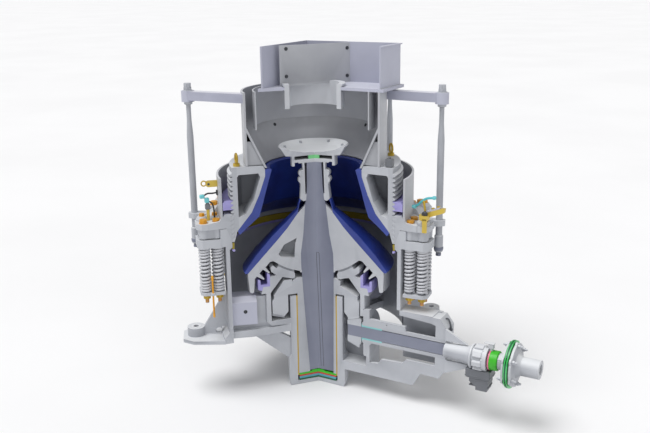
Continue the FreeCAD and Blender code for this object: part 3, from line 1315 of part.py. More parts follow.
def hopper_arms():
    """Box beams from the hopper to the tie rods, with the block that each rod goes through."""
    arms = []
    hollow = place(cylinder("hopper_room", hopper_bore + hopper_wall, reach), 0, 0, bowl_top)
    for index, turn in enumerate(arm_turns):
        rod = rod_first + rod_pitch * float(index)
        along, across = on_circle(rod_circle, rod)
        beam_body = plate("beam_body%d" % index, rectangle(
            ground, -beam_width / 2.0, beam_length, beam_width / 2.0), beam_depth)
        place(beam_body, along, across, beam_low, UP, turn)
        block = place(cylinder("block%d" % index, block_radius, block_depth), along, across, beam_low - 20.0)
        bore = place(cylinder("block_bore%d" % index, rod_radius, reach), along, across, beam_low - 100.0)
        arms.append(cut("arm_bored%d" % index, cut("arm_short%d" % index, fused(
            "arm_whole%d" % index, [beam_body, block]), hollow), bore))
    return compound("hopper_arms_all", arms)


def tie_rods():
    """Rods that carry the hopper's arms, thin at the top, with a nut above and a sleeve below."""
    rods = []
    for index in range(len(arm_turns)):
        along, across = on_circle(rod_circle, rod_first + rod_pitch * float(index))
        rod = revolved("rod%d" % index, [
            (ground, rod_bottom), (24.0, rod_bottom), (24.0, rod_bottom + 30.0), (rod_sleeve, rod_bottom + 60.0),
            (rod_sleeve, rod_bottom + 250.0), (rod_radius + rod_step, rod_bottom + 260.0), (rod_radius + rod_step, 2500.0),
            (rod_radius - 8.0, 2700.0), (rod_radius - 8.0, beam_low - 60.0), (rod_radius + 14.0, beam_low - 50.0),
            (rod_radius + 14.0, beam_low - 20.0), (rod_radius, beam_low - 20.0),
            (rod_radius, beam_low - 20.0 + block_depth), (nut_radius, beam_low - 20.0 + block_depth),
            (nut_radius, rod_top), (ground, rod_top)], 360.0)
        rods.append(place(rod, along, across, 0))
    return compound("rods_all", rods)


def spring_group_pieces():
    """Plate under the springs of each group, their bolts with nuts, and the springs' outer forms."""
    plates = []
    bolts = []
    coils = []
    top = ring_flange_bottom + ring_ear_depth
    low = spring_bottom - seat_gap - keeper_depth
    root_end = spring_inner_radius - coil_radius + 4.0
    for index in range(int(number(group_count))):
        turn = group_first + group_pitch * float(index)
        blank = plate("keeper_blank%d" % index, [
            (root_end, -ear_half_width + 10.0), (ear_reach - ear_corner, -ear_half_width + 10.0),
            (ear_reach - 14.0, -ear_half_width + ear_corner), (ear_reach - 14.0, ear_half_width - ear_corner),
            (ear_reach - ear_corner, ear_half_width - 10.0), (root_end, ear_half_width - 10.0)], keeper_depth)
        holes = []
        tubes = []
        for count, (along, across) in enumerate(spring_places()):
            name = "%d_%d" % (index, count)
            bolt = place(revolved("bolt" + name, [
                (ground, bolt_end), (bolt_radius, bolt_end), (bolt_radius, low - nut_depth), (nut_radius, low - nut_depth),
                (nut_radius, low), (bolt_radius, low), (bolt_radius, top), (nut_radius, top),
                (nut_radius, top + nut_depth), (ground, top + nut_depth)], 360.0), along, across, 0)
            bolts.append(place(compound("bolt_turned" + name, [bolt]), 0, 0, 0, UP, turn))
            holes.append(place(cylinder("keeper_hole" + name, bolt_radius, keeper_depth * 2.0), along, across,
                               -keeper_depth / 2.0))
            tube = cut("coil" + name, cylinder("coil_outer" + name, coil_radius, ear_bottom - spring_bottom - seat_gap),
                       cylinder("coil_inner" + name, coil_radius - coil_wire, ear_bottom - spring_bottom - seat_gap))
            place(tube, along, across, spring_bottom)
            tubes.append(tube)
        keeper = cut("keeper%d" % index, blank, compound("keeper_holes%d" % index, holes))
        plates.append(place(keeper, 0, 0, low, UP, turn))
        coils.append(place(compound("coils%d" % index, tubes), 0, 0, 0, UP, turn))
    return plates, bolts, coils


def eyebolts():
    """Lifting eyes on top of the bowl."""
    eyes = []
    for index in range(3):
        along, across = on_circle(eye_circle, eye_first + eye_pitch * float(index))
        base = cylinder("eye_base%d" % index, eye_base_radius, eye_base_depth)
        ring = document.addObject("Part::Torus", "eye_ring%d" % index)
        ring.Radius1 = number(eye_ring_radius)
        bind(ring, "Radius1", eye_ring_radius)
        ring.Radius2 = number(eye_ring_wire)
        bind(ring, "Radius2", eye_ring_wire)
        place(ring, 0, 0, eye_base_depth + eye_ring_radius, ALONG_X, 90.0)
        whole = fused("eye%d" % index, [base, ring])
        eyes.append(place(whole, along, across, bowl_top, UP, eye_first + eye_pitch * float(index) + 90.0))
    return compound("eyes_all", eyes)


node(frame_shell(), "frame_shell")
node(spring_brackets(), "spring_brackets")
node(frame_hub(), "frame_hub")
space = arm_space()
node(compound("frame_arms_all", [frame_arm(index, space) for index in (1, 2, 3)]), "frame_arms")
node(compound("arm_guards_all", [arm_guard(index) for index in (1, 2, 3)]), "arm_guards")
node(compound("feet_all", [foot(index) for index in (1, 2, 3)]), "feet")
node(drive_box(), "countershaft_box")
for item, label in zip(step_pieces(), ("thrust_plate_red", "thrust_plate_cyan", "thrust_plate_dark", "bottom_cover")):
    node(item, label)
node(revolved("hub_bushing", [
    (hub_bore - bushing_wall, bushing_bottom), (hub_bore, bushing_bottom), (hub_bore, hub_top - 4.0),
    (hub_bore - bushing_wall, hub_top - 4.0)], section_angle), "eccentric_bushing")
for item, label in zip(socket_pieces(), ("socket", "socket_liner", "labyrinth_seal")):
    node(item, label)
for item, label in zip(eccentric_pieces(), ("eccentric", "counterweight", "thrust_plate_green")):
    node(item, label)
node(bevel_gear(), "bevel_gear")
node(bevel_pinion(), "pinion")
for item, label in zip(drive_pieces(), ("countershaft", "countershaft_bushing", "countershaft_housing", "seal_housing",
                                        "oil_sump", "seal_collar", "oil_flinger")):
    node(item, label)
for item, label in zip(coupling_pieces(), ("coupling_half_inner", "coupling_discs", "coupling_half_outer")):
    node(item, label)
for item, label in zip(head_pieces(), ("main_shaft", "head", "mantle", "head_nut", "feed_seat", "feed_clamp",
                                       "feed_plate")):
    node(item, label)
for item, label in zip(bowl_pieces(), ("adjustment_ring", "bowl_screw", "bowl", "bowl_rim", "bowl_ribs", "bowl_liner",
                                       "clamping_ring", "clamp_jacks", "dust_cover")):
    node(item, label)
for item, label in zip(hopper_pieces(), ("hopper_shell", "hopper_cone", "hopper_skirt", "cover_plate", "feed_ring",
                                         "feed_box", "feed_panel")):
    node(item, label)
node(ring_brackets(), "ring_brackets")
node(hopper_arms(), "hopper_arms")
node(tie_rods(), "tie_rods")
node(eyebolts(), "eyebolts")
plates, bolts, coils = spring_group_pieces()
node(compound("plates_all", plates), "spring_plates")
node(compound("bolts_all", bolts), "spring_bolts")
node(compound("coils_all", coils), "springs")

document.recompute()
for item in document.Objects:
    if "Invalid" in item.State or "Error" in item.State:
        raise RuntimeError("%s did not build: %s" % (item.Name, item.State))
for item in nodes:
    if item.Shape.isNull() or not item.Shape.isValid() or not item.Shape.Solids:
        raise RuntimeError("%s is not a valid solid" % item.Label)
os.makedirs("parts", exist_ok=True)
for item in nodes:
    item.Shape.exportStep("parts/%s.step" % item.Label)
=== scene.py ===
"""Dresses the sectioned cone crusher with finishes, coil springs, fasteners and fittings, and lights it."""
import logging
import math
from dataclasses import dataclass, field
from enum import Enum
from typing import Any, Sequence

import bmesh
import bpy
from mathutils import Matrix, Vector


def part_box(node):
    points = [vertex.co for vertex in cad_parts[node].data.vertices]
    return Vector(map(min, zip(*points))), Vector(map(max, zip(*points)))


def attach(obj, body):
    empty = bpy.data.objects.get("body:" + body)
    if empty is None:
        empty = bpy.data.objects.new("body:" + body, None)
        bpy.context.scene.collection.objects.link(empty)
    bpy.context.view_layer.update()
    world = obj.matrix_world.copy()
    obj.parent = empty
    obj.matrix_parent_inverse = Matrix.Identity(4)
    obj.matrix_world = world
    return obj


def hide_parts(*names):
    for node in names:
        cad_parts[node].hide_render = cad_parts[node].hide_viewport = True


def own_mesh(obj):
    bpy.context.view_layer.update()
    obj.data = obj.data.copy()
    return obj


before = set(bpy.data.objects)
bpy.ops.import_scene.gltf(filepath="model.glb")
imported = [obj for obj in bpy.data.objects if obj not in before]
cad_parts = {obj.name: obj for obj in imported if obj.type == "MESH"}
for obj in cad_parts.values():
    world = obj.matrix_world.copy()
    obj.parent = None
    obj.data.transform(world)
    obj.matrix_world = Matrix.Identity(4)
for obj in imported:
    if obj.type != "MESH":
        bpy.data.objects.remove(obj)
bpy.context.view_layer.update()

MM = 0.001
X_AXIS = Vector((1, 0, 0))
Z_AXIS = Vector((0, 0, 1))
log = logging.getLogger("cone_crusher")

Pair = tuple[float, float]
Triple = tuple[float, float, float]
Socket = bpy.types.NodeSocket
# Numbers of a mix node's inputs, and of its colour output.
MIX_SHARE, MIX_UNDER, MIX_TOP, MIX_COLOUR = 0, 6, 7, 2
# Depth of the relief as a share of the grain.
RELIEF_SHARE = 0.12
# Radius in millimetres that stands for a profile's own axis, so that its faces keep four corners.
ON_AXIS = 0.01


class Body(Enum):
    """CAD bodies that pieces ride on."""

    FRAME = "main_frame"
    HEAD = "head_body"
    DRIVE = "countershaft_body"
    UPPER = "upper_body"


class Surface(Enum):
    """How a surface was made, which decides its texture."""

    SAND_CAST = "painted sand casting"
    ROLLED = "painted rolled plate"
    TURNED_UPRIGHT = "turned about the main axis"
    TURNED_ALONG = "turned about the drive axis"
    GROUND = "ground steel"
    MOULDED = "moulded rubber"
    CONCRETE = "troweled floor"


@dataclass(frozen=True)
class Finish:
    """One real material with how it was finished."""

    name: str
    colour: str
    tint: str
    surface: Surface
    metallic: float
    roughness: float
    grain_mm: float
    relief: float
    blotch_mm: float = 420
    # Paler colour along sharp edges, partly worn paint and partly a painted highlight.
    edge: str = ""
    # Near-white colour painted on the upward faces as painted light; a finish that has it also gets painted
    # shade on its undersides.
    painted_light_tone: str = ""


# In the finishes below, the near-white colour for upward faces is painted light, and the paler colour on
# sharp edges is partly worn paint and partly a painted highlight.
# Grey iron castings under satin machinery paint: a fine pebble from the sand mould shows through the coat.
GREY_CASTING = Finish("satin_grey_paint_on_sand_cast_iron", "#abaeb5", "#a0a3aa", Surface.SAND_CAST, 0, 0.5,
                      7, 0.22, edge="#c6c9cf", painted_light_tone="#e6e8eb")
# The same paint on machined flats of the casting, where the pebble is gone and the coat lies smoother.
PALE_CASTING = Finish("satin_pale_paint_on_machined_iron", "#b1b4ba", "#a6a9b0", Surface.SAND_CAST, 0, 0.46,
                      5, 0.12, edge="#d2d4d9", painted_light_tone="#eceef0")
# Rolled mild steel plate under a cool lilac-grey paint: nearly flat, with a faint orange peel.
LILAC_PLATE = Finish("lilac_grey_paint_on_rolled_plate", "#a5a7b8", "#9b9dae", Surface.ROLLED, 0, 0.42, 14,
                     0.1, edge="#c5c7d6", painted_light_tone="#e6e6ee")
# Plate panel in a warmer grey, as the wear panel in the feed box.
GREY_PLATE = Finish("grey_paint_on_rolled_plate", "#a3a5aa", "#97999f", Surface.ROLLED, 0, 0.45, 14, 0.12,
                    edge="#c2c4c9", painted_light_tone="#e2e3e6")
# Manganese steel liner under blue shop primer: coarse casting skin and a darker tone in its hollows.
BLUE_LINER = Finish("blue_primer_on_manganese_steel", "#263a8a", "#1f2c72", Surface.SAND_CAST, 0, 0.4, 11,
                    0.3, edge="#4255ac")
# Forged shaft steel, ground all over: bluish grey with fine turning lines and a soft sheen.
FORGED_STEEL = Finish("ground_forged_steel", "#747889", "#696d7f", Surface.TURNED_UPRIGHT, 0.25, 0.38, 3,
                      0.1, edge="#979bab")
# The drive shaft is the same forging, turned about its own axis.
DRIVE_STEEL = Finish("turned_forged_steel", "#777b8d", "#6c7082", Surface.TURNED_ALONG, 0.25, 0.38, 3, 0.1,
                     edge="#999dac")
# Lead-coated liner of the socket: dull dark grey where the head's ball runs.
LEADED_LINER = Finish("leaded_face_of_the_socket_liner", "#74777e", "#686b73", Surface.TURNED_UPRIGHT, 0.2,
                      0.48, 4, 0.1, edge="#94979d")
# Leaded bronze of the bushings: dull gold with a soft turned sheen.
BRONZE = Finish("turned_leaded_bronze", "#b0912b", "#987b1f", Surface.TURNED_UPRIGHT, 0.35, 0.42, 4, 0.12,
                edge="#cfae4a")


def assembly_paint(name: str, colour: str, tint: str, surface: Surface = Surface.TURNED_UPRIGHT,
                   roughness: float = 0.42) -> Finish:
    """Thin smooth paint on a turned part, as assembly drawings use to tell small parts apart."""
    return Finish(name, colour, tint, surface, 0, roughness, 4, 0.08)


# Small parts carry assembly paint, so that they tell apart.
SIGNAL_RED = assembly_paint("red_assembly_paint", "#cb3a2e", "#b83228")
SEA_CYAN = assembly_paint("cyan_assembly_paint", "#5aa9ba", "#4d98a9")
PINE_GREEN = assembly_paint("dark_green_assembly_paint", "#1d6546", "#17543a")
LIME_GREEN = assembly_paint("bright_green_assembly_paint", "#3fbe27", "#37ab21", roughness=0.4)
MINT_GREEN = assembly_paint("pale_green_assembly_paint", "#79cc88", "#6cbd7c", roughness=0.4)
ROSE_PAINT = assembly_paint("rose_assembly_paint", "#e07a98", "#d06c8a", Surface.TURNED_ALONG)
TEAL_PAINT = assembly_paint("teal_assembly_paint", "#93cfcf", "#82c0c1", Surface.TURNED_ALONG)
COUPLING_GREEN = Finish("green_enamel_on_disc_pack", "#38b65b", "#2fa34e", Surface.TURNED_ALONG, 0, 0.34, 4,
                        0.06, edge="#72d78c")
VIOLET_PAINT = Finish("violet_assembly_paint", "#8f89c6", "#827bba", Surface.TURNED_UPRIGHT, 0, 0.46, 5,
                      0.1, edge="#b3aee0")
# Zinc and yellow chromate on the bolts and nuts: olive gold with a slight metal gleam.
YELLOW_CHROMATE = Finish("yellow_chromate_on_steel", "#c0a02a", "#a6881c", Surface.GROUND, 0.3, 0.38, 3,
                         0.08, edge="#dfc662")
# Orange enamel on the bolt heads of the ring and on the release rod.
ORANGE_ENAMEL = Finish("orange_enamel_on_hex_heads", "#dc9a18", "#c9880e", Surface.GROUND, 0.1, 0.36, 3,
                       0.06, edge="#f0bc5c")
# Cast polyurethane lip that wipes the chamber's dust from the seat: olive yellow, smooth.
OLIVE_SEAL = Finish("olive_yellow_polyurethane_lip", "#a8962c", "#958422", Surface.MOULDED, 0, 0.5, 5, 0.08)
# Cold-wound spring wire, shot-peened and painted pale grey.
SPRING_WIRE = Finish("pale_paint_on_peened_spring_wire", "#b9bbc1", "#a9abb2", Surface.SAND_CAST, 0.1, 0.42,
                     3, 0.1, edge="#dfe0e5", painted_light_tone="#e4e5e9")
# Black oxide on the small fasteners and knobs.
BLACK_OXIDE = Finish("black_oxide_on_steel", "#3a3c40", "#303236", Surface.GROUND, 0.3, 0.42, 3, 0.08,
                     edge="#5b5e64")
# Sheet steel sump in a dark satin paint.
DARK_SHEET = Finish("dark_grey_paint_on_pressed_sheet", "#595c62", "#4e5157", Surface.ROLLED, 0, 0.4, 12,
                    0.1, edge="#7b7e84")
# Hydraulic hose: extruded nitrile rubber with a faint cloth mark.
HOSE_RUBBER = Finish("moulded_nitrile_hose", "#2c2e31", "#242628", Surface.MOULDED, 0, 0.6, 4, 0.2)
# Zinc fittings of the hydraulic lines under a teal passivation.
TEAL_HOSE = Finish("teal_passivated_fitting", "#4fb7c0", "#43a6af", Surface.GROUND, 0.1, 0.38, 3, 0.06,
                   edge="#86d2d8")
# Studio floor, a smooth pale concrete screed.
PALE_FLOOR = Finish("pale_screed_floor", "#f6f6f7", "#f3f3f4", Surface.CONCRETE, 0, 0.8, 20, 0.02, 5200)
# Painted shade on the undersides of the castings.
PAINTED_UNDERSIDE_SHADE = "#53565d"

# CAD nodes under each finish.
CAD_NODES: dict[Finish, str] = {
    GREY_CASTING: "frame_shell spring_brackets frame_hub frame_arms feet socket countershaft_housing "
                  "countershaft_box bottom_cover spring_bolts spring_plates eccentric counterweight "
                  "bevel_gear pinion adjustment_ring ring_brackets bowl bowl_screw bowl_rim bowl_ribs "
                  "tie_rods",
    PALE_CASTING: "seal_housing coupling_half_inner coupling_half_outer head head_nut feed_seat feed_plate "
                  "feed_ring",
    LILAC_PLATE: "arm_guards cover_plate feed_box hopper_arms",
    GREY_PLATE: "dust_cover hopper_shell hopper_cone hopper_skirt feed_panel",
    BLUE_LINER: "mantle bowl_liner",
    FORGED_STEEL: "main_shaft",
    DRIVE_STEEL: "countershaft",
    LEADED_LINER: "socket_liner",
    BRONZE: "eccentric_bushing",
    SIGNAL_RED: "thrust_plate_red",
    SEA_CYAN: "thrust_plate_cyan",
    PINE_GREEN: "thrust_plate_dark",
    LIME_GREEN: "thrust_plate_green oil_flinger",
    MINT_GREEN: "feed_clamp",
    ROSE_PAINT: "seal_collar",
    TEAL_PAINT: "countershaft_bushing",
    COUPLING_GREEN: "coupling_discs",
    VIOLET_PAINT: "labyrinth_seal clamping_ring clamp_jacks",
    YELLOW_CHROMATE: "eyebolts",
    DARK_SHEET: "oil_sump",
    SPRING_WIRE: "springs",
}


def linear(code: str) -> tuple[float, float, float, float]:
    """Turn an sRGB hex value into linear light.

    Args:
        code: Colour as #rrggbb.

    Returns:
        Red, green, blue and alpha.
    """
    parts = [int(code[index:index + 2], 16) / 255 for index in (1, 3, 5)]
    bent = [part / 12.92 if part <= 0.04045 else ((part + 0.055) / 1.055) ** 2.4 for part in parts]
    return bent[0], bent[1], bent[2], 1


@dataclass
class Mixer:
    """Builds the shader of one finish in a material's node tree."""

    tree: bpy.types.NodeTree
    finish: Finish

    def __post_init__(self) -> None:
        """Start with the point of the surface that is shaded."""
        self.place = self.node("ShaderNodeTexCoord").outputs["Object"]

    def node(self, kind: str, settings: dict[Any, Any] | None = None,
             links: dict[Any, Socket] | None = None) -> bpy.types.Node:
        """Add a node, set its properties or unlinked inputs, and link the inputs that follow another node.

        Args:
            kind: Blender's name of the node type.
            settings: Property name, or input name or number, to value.
            links: Input name or number to an output socket.

        Returns:
            The new node.
        """
        made = self.tree.nodes.new(kind)
        for key, value in (settings or {}).items():
            if isinstance(key, int) or key in made.inputs:
                made.inputs[key].default_value = value
            else:
                setattr(made, key, value)
        for key, source in (links or {}).items():
            self.tree.links.new(source, made.inputs[key])
        return made

    def noise(self, scale: float, detail: float, roughness: float = 0.5) -> Socket:
        """Cloudy height of a scale in patches per metre."""
        made = self.node("ShaderNodeTexNoise", {"Scale": scale, "Detail": detail, "Roughness": roughness},
                         {"Vector": self.place})
        return made.outputs["Fac"]

    def ranged(self, value: Socket, source: Pair, target: Pair = (0, 1)) -> Socket:
        """Stretch a value from one range to another."""
        made = self.node("ShaderNodeMapRange", {"From Min": source[0], "From Max": source[1],
                                                "To Min": target[0], "To Max": target[1]}, {"Value": value})
        return made.outputs["Result"]

    def toned(self, share: Socket, under: Socket, code: str) -> Socket:
        """Colour that turns from a socket's into a hex value's as the share rises."""
        made = self.node("ShaderNodeMix", {"data_type": "RGBA", MIX_TOP: linear(code)},
                         {MIX_SHARE: share, MIX_UNDER: under})
        return made.outputs[MIX_COLOUR]

    def blended(self, first: Socket, second: Socket, share: float) -> Socket:
        """Mix two heights, with a share of the second."""
        made = self.node("ShaderNodeMix", {"data_type": "FLOAT", MIX_SHARE: share}, {2: first, 3: second})
        return made.outputs[0]

    def shader(self) -> None:
        """Lead colour, roughness and relief into the shader."""
        colour, grain = self.shaded(), self.grain()
        shine = (self.finish.roughness - 0.06, self.finish.roughness + 0.08)
        rough = self.ranged(grain, (0.3, 0.7), shine)
        depth = self.finish.grain_mm * MM * RELIEF_SHARE
        bump = self.node("ShaderNodeBump", {"Strength": self.finish.relief, "Distance": depth},
                         {"Height": grain})
        paint = self.node("ShaderNodeBsdfPrincipled", {"Metallic": self.finish.metallic}, {
            "Base Color": colour, "Roughness": rough, "Normal": bump.outputs["Normal"]})
        self.node("ShaderNodeOutputMaterial", {}, {"Surface": paint.outputs["BSDF"]})

    def shaded(self) -> Socket:
        """Colour with broad drifts of tone, painted light and shade where the finish has them, and paler
        along the edges, partly as worn paint and partly as a painted highlight.

        Returns:
            Socket of the colour.
        """
        finish = self.finish
        drift = self.ranged(self.noise(1 / (finish.blotch_mm * MM), 3, 0.55), (0.38, 0.62))
        made = self.node("ShaderNodeMix", {"data_type": "RGBA", MIX_UNDER: linear(finish.colour),
                                           MIX_TOP: linear(finish.tint)}, {MIX_SHARE: drift})
        plain = made.outputs[MIX_COLOUR]
        if finish.painted_light_tone:
            plain = self.painted_light_and_shade(plain)
        if not finish.edge:
            return plain
        # Sharp edges turn paler, partly as worn paint and partly as a painted highlight where a bevel would
        # catch the light.
        sharp = self.node("ShaderNodeNewGeometry").outputs["Pointiness"]
        return self.toned(self.ranged(sharp, (0.53, 0.62), (0, 0.55)), plain, finish.edge)

    def painted_light_and_shade(self, colour: Socket) -> Socket:
        """Paint the upward faces paler as painted light, and the faces under the overhangs darker as painted
        shade.

        Args:
            colour: Socket of the clean paint.

        Returns:
            Socket of the colour with the painted light and shade.
        """
        normal = self.node("ShaderNodeTexCoord").outputs["Normal"]
        rise = self.node("ShaderNodeSeparateXYZ", {}, {"Vector": normal}).outputs["Z"]
        # Upward faces blend towards the near-white painted light, and downward faces towards the dark painted
        # shade.
        for span, share, painted_light_tone in (((0.25, 0.92), 0.78, self.finish.painted_light_tone), ((-0.15, -0.9), 0.55, PAINTED_UNDERSIDE_SHADE)):
            colour = self.toned(self.ranged(rise, span, (0, share)), colour, painted_light_tone)
        return colour

    def grain(self) -> Socket:
        """Fine relief that the making of the surface left.

        Returns:
            Socket of the height, about 0 to 1.
        """
        surface = self.finish.surface
        fine = 1 / (self.finish.grain_mm * MM)
        noise = self.noise(fine, 4, 0.6)
        if surface in (Surface.SAND_CAST, Surface.CONCRETE):
            pebble = self.node("ShaderNodeTexVoronoi", {"Scale": fine * 0.6, "feature": "SMOOTH_F1"},
                               {"Vector": self.place})
            return self.blended(noise, pebble.outputs["Distance"], 0.45)
        if surface in (Surface.TURNED_UPRIGHT, Surface.TURNED_ALONG):
            # Turning lines are finer than a pixel, so they are drawn about four grains apart.
            direction = "Z" if surface is Surface.TURNED_UPRIGHT else "X"
            lines = self.node("ShaderNodeTexWave", {
                "wave_type": "RINGS", "rings_direction": direction, "Scale": fine / 12, "Distortion": 1.2,
                "Detail": 2}, {"Vector": self.place})
            return self.blended(noise, lines.outputs["Fac"], 0.5)
        if surface is Surface.MOULDED:
            weave = self.node("ShaderNodeTexWave", {"Scale": fine * 0.3, "Distortion": 0.6,
                                                    "bands_direction": "DIAGONAL"}, {"Vector": self.place})
            return self.blended(noise, weave.outputs["Fac"], 0.6)
        return self.blended(noise, self.noise(fine * 0.35, 1), 0.6)


@dataclass
class PaintShop:
    """Makes each finish once and puts it on pieces."""

    mixed: dict[str, bpy.types.Material] = field(default_factory=dict)

    def material(self, finish: Finish) -> bpy.types.Material:
        """Mix a finish, or give the one mixed before.

        Args:
            finish: What the surface is.

        Returns:
            The material.
        """
        if finish.name in self.mixed:
            return self.mixed[finish.name]
        made = bpy.data.materials.new(finish.name)
        made.use_nodes = True
        made.node_tree.nodes.clear()
        Mixer(made.node_tree, finish).shader()
        made.diffuse_color = linear(finish.colour)
        self.mixed[finish.name] = made
        return made

    def dress(self) -> None:
        """Give every CAD node its finish."""
        for finish, names in CAD_NODES.items():
            for name in names.split():
                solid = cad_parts[name]
                solid.data.materials.clear()
                solid.data.materials.append(self.material(finish))

    def piece(self, name: str, form: "Form", finish: Finish, body: Body | None,
              crease: float = 32) -> bpy.types.Object:
        """Turn a form into a piece of the crusher or of the stage.

        Args:
            name: Name of the piece.
            form: Its shape.
            finish: What it is made of.
            body: What it rides on, or None on the stage.
            crease: Angle in degrees above which an edge stays sharp.

        Returns:
            The object.
        """
        mesh = form.mesh(name, crease)
        mesh.materials.append(self.material(finish))
        made = bpy.data.objects.new(name, mesh)
        bpy.context.scene.collection.objects.link(made)
        if body:
            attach(made, body.value)
        log.info("%s has %d faces", name, len(mesh.polygons))
        return made


def shift(x: float = 0, y: float = 0, z: float = 0) -> Matrix:
    """Move by millimetres."""
    return Matrix.Translation((x, y, z))


def turn(angle: float, axis: str = "Z") -> Matrix:
    """Turn by degrees about an axis."""
    return Matrix.Rotation(math.radians(angle), 4, axis)


def placed(along: float, across: float, height: float, axis: Vector = Z_AXIS, spin: float = 0) -> Matrix:
    """Frame at a point, with its own Z along an axis and a turn about it in degrees."""
    facing = axis.normalized().to_track_quat("Z", "Y").to_matrix().to_4x4()
    return shift(along, across, height) @ facing @ turn(spin)


def around(angle: float, radius: float = 0, across: float = 0, height: float = 0) -> Matrix:
    """Frame at an angle and radius about the main axis, with its own X pointing outward."""
    return turn(angle) @ shift(radius, across, height)


def arc(centre: Pair, radius: float, start: float, end: float, steps: int) -> list[Pair]:
    """Points of an arc from one angle to another, in degrees."""
    angles = [math.radians(start + (end - start) * step / steps) for step in range(steps + 1)]
    return [(centre[0] + radius * math.cos(angle), centre[1] + radius * math.sin(angle)) for angle in angles]


def eased(stops: Sequence[Sequence[float]], steps: int = 8) -> list[Vector]:
    """Smooth line through a few points.

    Args:
        stops: Where the line goes through.
        steps: New points on each run.

    Returns:
        Points along the line.
    """
    points = [Vector(stop) for stop in stops]
    ends = [points[0] * 2 - points[1], *points, points[-1] * 2 - points[-2]]
    line = []
    for index in range(1, len(ends) - 2):
        before, start, end, after = ends[index - 1:index + 3]
        slope, sag = end - before, 2 * before - 5 * start + 4 * end - after
        twist = 3 * start - before - 3 * end + after
        for step in range(steps):
            t = step / steps
            line.append(0.5 * (2 * start + slope * t + sag * t * t + twist * t ** 3))
    line.append(points[-1])
    return line


